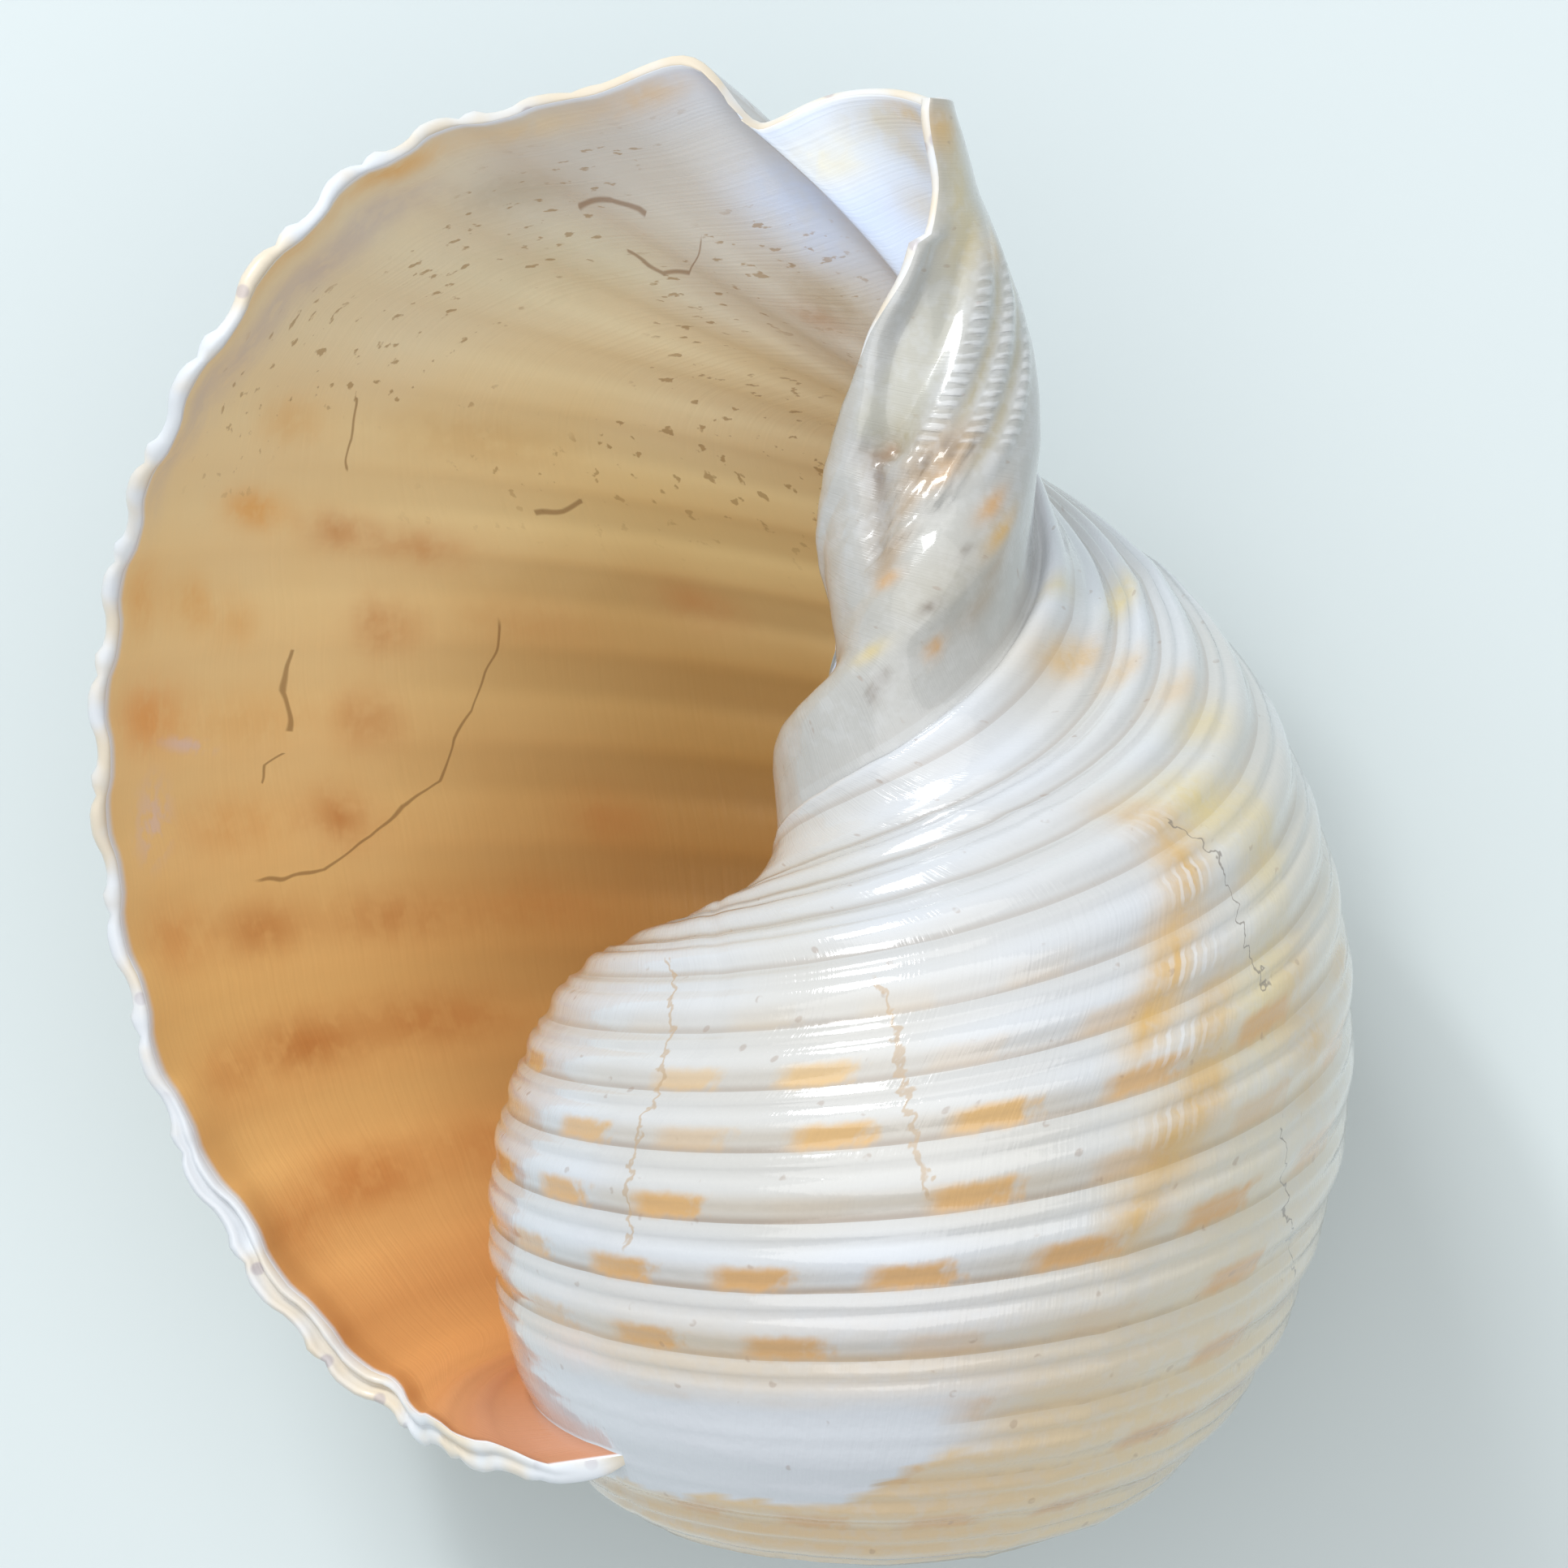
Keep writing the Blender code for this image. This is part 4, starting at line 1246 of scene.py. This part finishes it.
@dataclass(frozen=True)
class RibbedGlaze:
    """Finish of the outside: glossy white ribs with rows of orange dashes."""

    tints: Tints = Tints()
    shade: float = 0.66
    degree: float = 0.66
    rib: float = 6.8
    ridge_gap: float = 0.4
    ridge_count: float = 10.26
    bump_depth: float = 0.22 * MM
    coat: float = 0.9
    cracks: tuple[Trail, ...] = (
        (((-224.0, 4.14), (-219.0, 3.0), (-216.5, 2.2), (-210.0, 1.28)), 0.17),
        (((-206.0, -0.37), (-200.0, -1.7), (-191.5, -2.8)), 0.15))
    seams: tuple[Trail, ...] = (
        (((-318.5, 4.25), (-306.0, 2.0), (-299.0, -0.69)), 0.35),
        (((-279.0, 3.44), (-266.0, 1.5), (-257.5, 0.0)), 0.35))

    def flat(self, ends: Sequence[tuple[float, float]]) -> list[tuple[float, float]]:
        """Turn places given as turn and rib count into millimetres on the last whorl."""
        return [(turn * self.degree, count * self.rib) for turn, count in ends]

    def material(self) -> bpy.types.Material:
        """Make the material."""
        n = Nodes("ribbed_glaze")
        t = self.tints
        turn, count = n.growth()
        phase = count + turn * RIB_DRIFT + RIB_DRIFT * DRIFT_START
        glaze = n.cover()
        stain_and_shade, cover = n.stain_and_shade()
        at = n.place()
        crest = (phase * FULL_TURN).math("COSINE") * 0.5 + 0.5
        neck = count.step(8.3, 9.3)
        bare = 1.0 - glaze
        ribbed = (1.0 - neck) * bare
        cloud = n.noise(at, 0.04, 1.0)
        grit = n.noise(at, 0.55, 2.0, 0.62)
        fuzz = n.noise_flat(n.vector(turn * 0.45, count * 4.0), 1.0, 2.0)
        colour = n.mix(cloud.step(0.4, 0.66) * bare * 0.6, t.white, t.cream)
        # painted shade: the grooves between the crests are greyed
        colour = n.mix((1.0 - crest) * ribbed * 0.4, colour, t.groove)
        low = count.step(4.5, -1.5)
        across = (phase + 0.5).math("FRACT")
        shade = across.bell(0.03, 0.14) * ribbed
        colour = n.mix(shade * (low * 0.45 + 0.3), colour, t.shade)
        under = across.bell(0.24, 0.26) * ribbed
        colour = n.mix(under * low * cloud.step(0.34, 0.6) * 0.5, colour, t.underside)
        colour = n.vector_math("SCALE", colour, scale=self.shade)
        patchy = grit.step(0.36, 0.56) * 0.2 + 0.8
        # laid from the mesh: stained colours, and on the neck painted shade in the valley and between the
        # ridges
        colour = n.mix(cover * patchy * bare, colour, stain_and_shade)
        dash = Dashes().mask(n, turn, phase, fuzz) * ribbed * count.step(3.4, 1.6)
        spot = n.mix(low, n.mix(cloud.step(0.35, 0.7), t.orange, t.honey), t.low_dash)
        colour = n.mix(dash * 0.95, colour, spot)
        # painted glints: short light ticks on the crests in the honey band
        painted_glints = (turn * 3.1 + fuzz * 3.0).math("SINE").step(0.1, 0.8) * (turn + fuzz * 6.0).bell(-224.0, 8.0)
        painted_glints = painted_glints * crest.step(0.4, 0.8) * ribbed * count.step(4.6, 3.6) * count.step(-0.4, 0.8)
        colour = n.mix(painted_glints * 0.45, colour, t.glint)
        flat = n.vector(turn * self.degree, count * self.rib)
        pits = n.cells(flat, 0.17).step(0.08, 0.045) * grit.step(0.5, 0.6)
        colour = n.mix(pits * 0.35, colour, t.brown)
        wobble = n.vector_math("SCALE", n.vector(fuzz - 0.5, grit - 0.5), scale=2.6)
        flat = n.vector_math("ADD", flat, wobble)
        cracks = n.trails(flat, [(self.flat(ends), width) for ends, width in self.cracks])
        seams = n.trails(flat, [(self.flat(ends), width) for ends, width in self.seams])
        colour = n.mix(cracks * 0.7, colour, t.crack)
        colour = n.mix(seams * 0.6, colour, t.seam)
        wave = FULL_TURN / self.ridge_gap
        rows = (count * wave - self.ridge_count * wave).math("COSINE").step(-0.4, 0.6)
        ridge = rows * count.step(9.6, 9.8) * count.step(10.9, 10.78) * turn.step(-44.0, -62.0)
        ridge = ridge * turn.step(-116.0, -104.0)
        beads = (turn * 1.5 + fuzz * 4.0).math("SINE") * ridge
        # painted highlight: the tops of the beads are lightened
        colour = n.mix(beads.step(-0.4, 0.9) * 0.35, colour, t.bead_highlight)
        lines = n.noise_flat(n.vector(turn * 1.9, count * 0.7), 1.0, 1.0)
        height = beads * 0.22 + lines * 0.12 + grit * 0.3
        roughness = 0.09 + 0.10 * (1.0 - crest) * ribbed + cover * neck * 0.22 + neck * 0.04
        return n.finish(colour, roughness, height, self.bump_depth, self.coat)


@dataclass(frozen=True)
class MouthLining:
    """Finish of the inside: honey orange that turns brown inwards and lavender by the canal, lightened by the
    lip as painted light shining through the thin wall.
    """

    tints: Tints = Tints()
    bump_depth: float = 0.15 * MM

    def near(self) -> tuple[tuple[float, Tint], ...]:
        """Colours just inside the lip, from the suture to the canal: the shell's own colours, lightened as
        painted light shining through the thin wall there.
        """
        return ((0.0, self.tints.rose), (0.15, linear(226, 166, 104)), (0.30, linear(252, 206, 134)),
                (0.47, linear(254, 224, 166)), (0.58, linear(250, 228, 180)), (0.68, linear(240, 228, 196)),
                (0.79, linear(210, 205, 195)), (0.90, linear(214, 226, 244)))

    def deep(self) -> tuple[tuple[float, Tint], ...]:
        """Colours a third of a turn further in."""
        return ((0.0, linear(200, 120, 66)), (0.15, linear(202, 132, 68)), (0.30, linear(192, 138, 74)),
                (0.45, linear(208, 168, 102)), (0.56, linear(238, 212, 152)), (0.68, linear(246, 232, 192)),
                (0.80, linear(222, 216, 202)), (0.92, linear(212, 224, 246)))

    def hairs(self) -> tuple[Trail, ...]:
        """Fine worm trails, as places seen from above in millimetres, with their half widths."""
        return (
            (((-25.0, 18.6), (-26.2, 13.0), (-27.2, 9.4), (-29.2, 6.9), (-30.0, 2.6), (-33.2, 0.2),
              (-36.0, -3.2), (-40.0, -6.5), (-46.0, -9.0)), 0.2),
            (((-36.0, 36.0), (-36.4, 32.4), (-37.4, 29.4)), 0.16),
            (((-42.0, 13.0), (-43.2, 9.5), (-42.8, 6.0)), 0.2),
            (((-43.0, 3.4), (-44.6, 2.4), (-45.4, 0.6)), 0.16),
            (((-22.0, 27.6), (-19.4, 28.6), (-17.4, 29.8)), 0.3),
            (((-15.8, 52.8), (-13.2, 53.6), (-11.0, 53.0), (-9.9, 52.4)), 0.42),
            (((-12.0, 49.6), (-8.0, 47.8), (-5.6, 48.4), (-5.0, 51.6)), 0.22))

    def material(self) -> bpy.types.Material:
        """Make the material."""
        n = Nodes("mouth_lining")
        t = self.tints
        turn, count = n.growth()
        at = n.place()
        cloud = n.noise(at, 0.045, 2.0)
        drift = count + (cloud - 0.5) * 1.6
        share = (drift + 9.0) / 20.0
        inward = (turn + (cloud - 0.5) * 16.0).step(-22.0, -84.0)
        # lighter near the lip, where the colour also paints light shining through the thin wall, and browner
        # further in
        colour = n.mix(inward, n.ramp(share, self.near()), n.ramp(share, self.deep()))
        crest = ((count + turn * RIB_DRIFT) * FULL_TURN).math("COSINE") * 0.5 + 0.5
        # painted shade: darker bands along the ribs inside the mouth
        painted_rib_shade = crest.step(0.2, 0.9) * count.step(7.0, 4.0)
        painted_rib_shade = painted_rib_shade * (turn.step(-30.0, -80.0) * 0.2 + 0.05) * count.step(6.0, 0.0)
        colour = n.mix(painted_rib_shade, colour, t.band)
        stain_and_shade, cover = n.stain_and_shade()
        grit = n.noise(at, 0.4, 2.0, 0.6)
        colour = n.mix(cover * (grit.step(0.34, 0.56) * 0.3 + 0.7), colour, stain_and_shade)
        fleck = n.noise_flat(n.vector(turn * 0.5, count * 5.5), 1.0, 3.0).step(0.655, 0.72)
        fleck = fleck * cloud.step(0.44, 0.54) * count.step(1.2, 3.0) * count.step(8.2, 7.4)
        fleck = fleck * turn.step(-8.0, -16.0)
        colour = n.mix(fleck * 0.6, colour, t.fleck)
        wander = n.node("ShaderNodeTexNoise", {}, {"Vector": at, "Scale": 0.16, "Detail": 1.0}, 1)
        flat = n.vector_math("ADD", at, n.vector_math("SCALE", wander, scale=3.0))
        flat = n.vector_math("SUBTRACT", flat, (1.5, 1.5, 1.5))
        colour = n.mix(n.trails(flat, self.hairs()) * 0.6, colour, t.worm)
        colour = n.mix(turn.step(-1.8, -0.4), colour, t.white)
        scars = n.blot(at, (-49.5, 3.6, 46.0), (5.5, 1.2, 9.0)).math(
            "MAXIMUM", n.blot(at, (-52.0, -3.6, 50.0), (2.2, 6.0, 9.0))) * grit.step(0.42, 0.56)
        colour = n.mix(scars * 0.8, colour, t.scar)
        lines = n.noise_flat(n.vector(turn * 1.5, count * 0.6), 1.0, 1.0)
        return n.finish(colour, 0.30 + cloud * 0.08, lines * 0.15, self.bump_depth)


@dataclass(frozen=True)
class LipEnamel:
    """Finish of the lip's edge: white, with warm stretches and small violet pits."""

    tints: Tints = Tints()
    bump_depth: float = 0.3 * MM
    coat: float = 0.3

    def material(self) -> bpy.types.Material:
        """Make the material."""
        n = Nodes("lip_enamel")
        at = n.place()
        cloud = n.noise(at, 0.12, 2.0)
        colour = n.mix(cloud.step(0.42, 0.64) * 0.8, self.tints.lip, self.tints.lip_warm)
        pits = n.cells(at, 0.16).step(0.12, 0.07) * cloud.step(0.4, 0.55)
        colour = n.mix(pits * 0.5, colour, self.tints.violet)
        return n.finish(colour, 0.26 + cloud * 0.1, cloud, self.bump_depth, self.coat)


@dataclass
class Studio:
    """The table, the light and the camera."""

    table_size: float = 6.0
    table_tint: Tint = linear(194, 203, 204)
    table_roughness: float = 0.55
    camera_place: tuple[float, float, float] = (0.0380038, -0.0222375, 0.6305729)
    camera_turn: tuple[float, float, float] = (2.57489, 3.17027, 2.73118)
    lens: float = 149.07
    sensor: float = 36.0
    aim: tuple[float, float, float] = (0.0, 0.0, 0.03)
    sky: Tint = (0.84, 0.88, 0.93)
    sky_strength: float = 0.72

    def table(self) -> bpy.types.Object:
        """A plain pale table top."""
        bm = bmesh.new()
        bmesh.ops.create_grid(bm, x_segments=1, y_segments=1, size=self.table_size / 2.0)
        mesh = bpy.data.meshes.new("table_top")
        bm.to_mesh(mesh)
        bm.free()
        n = Nodes("table_top")
        mesh.materials.append(n.finish(self.table_tint, self.table_roughness))
        top = bpy.data.objects.new("table_top", mesh)
        bpy.context.scene.collection.objects.link(top)
        return top

    def softbox(self, name: str, place: tuple[float, float, float], size: tuple[float, float],
                power: float, tint: Tint) -> None:
        """Hang one rectangular light that faces the shell."""
        light = bpy.data.lights.new(name, "AREA")
        light.shape = "RECTANGLE"
        light.size, light.size_y = size
        light.energy = power
        light.color = tint
        lamp = bpy.data.objects.new(name, light)
        lamp.location = place
        lamp.rotation_euler = (Vector(self.aim) - Vector(place)).to_track_quat("-Z", "Y").to_euler()
        bpy.context.scene.collection.objects.link(lamp)

    def light(self) -> None:
        """Set the sky, the lights and the plain display of their colours."""
        bpy.context.scene.view_settings.view_transform = "Standard"
        world = bpy.data.worlds.new("sky")
        world.use_nodes = True
        backdrop = world.node_tree.nodes["Background"]
        backdrop.inputs["Color"].default_value = (*self.sky, 1.0)
        backdrop.inputs["Strength"].default_value = self.sky_strength
        bpy.context.scene.world = world
        self.softbox("window", (-0.45, 0.85, 1.05), (0.4, 0.6), 9.0, (0.96, 0.98, 1.0))
        self.softbox("pane", (-0.52, 0.8, 1.05), (0.09, 0.14), 4.0, (0.96, 0.98, 1.0))
        self.softbox("ceiling", (0.12, -0.1, 1.3), (1.6, 1.6), 9.5, (1.0, 0.98, 0.95))

    def camera(self) -> None:
        """Place the camera that looks straight down into the mouth."""
        lens = bpy.data.cameras.new("camera")
        lens.lens = self.lens
        lens.sensor_width = self.sensor
        camera = bpy.data.objects.new("camera", lens)
        camera.location = self.camera_place
        camera.rotation_euler = Euler([math.radians(angle) for angle in self.camera_turn])
        bpy.context.scene.collection.objects.link(camera)
        bpy.context.scene.camera = camera


def main() -> None:
    """Build the shell and the studio."""
    studio = Studio()
    studio.camera()
    studio.light()
    table = studio.table()
    finishes = [RibbedGlaze().material(), MouthLining().material(), LipEnamel().material()]
    shell = TunShell().build(finishes)
    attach(shell, "root")
    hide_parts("shell")
    LOG.info("%s rides on root", shell.name)


if __name__ == "__main__":
    main()
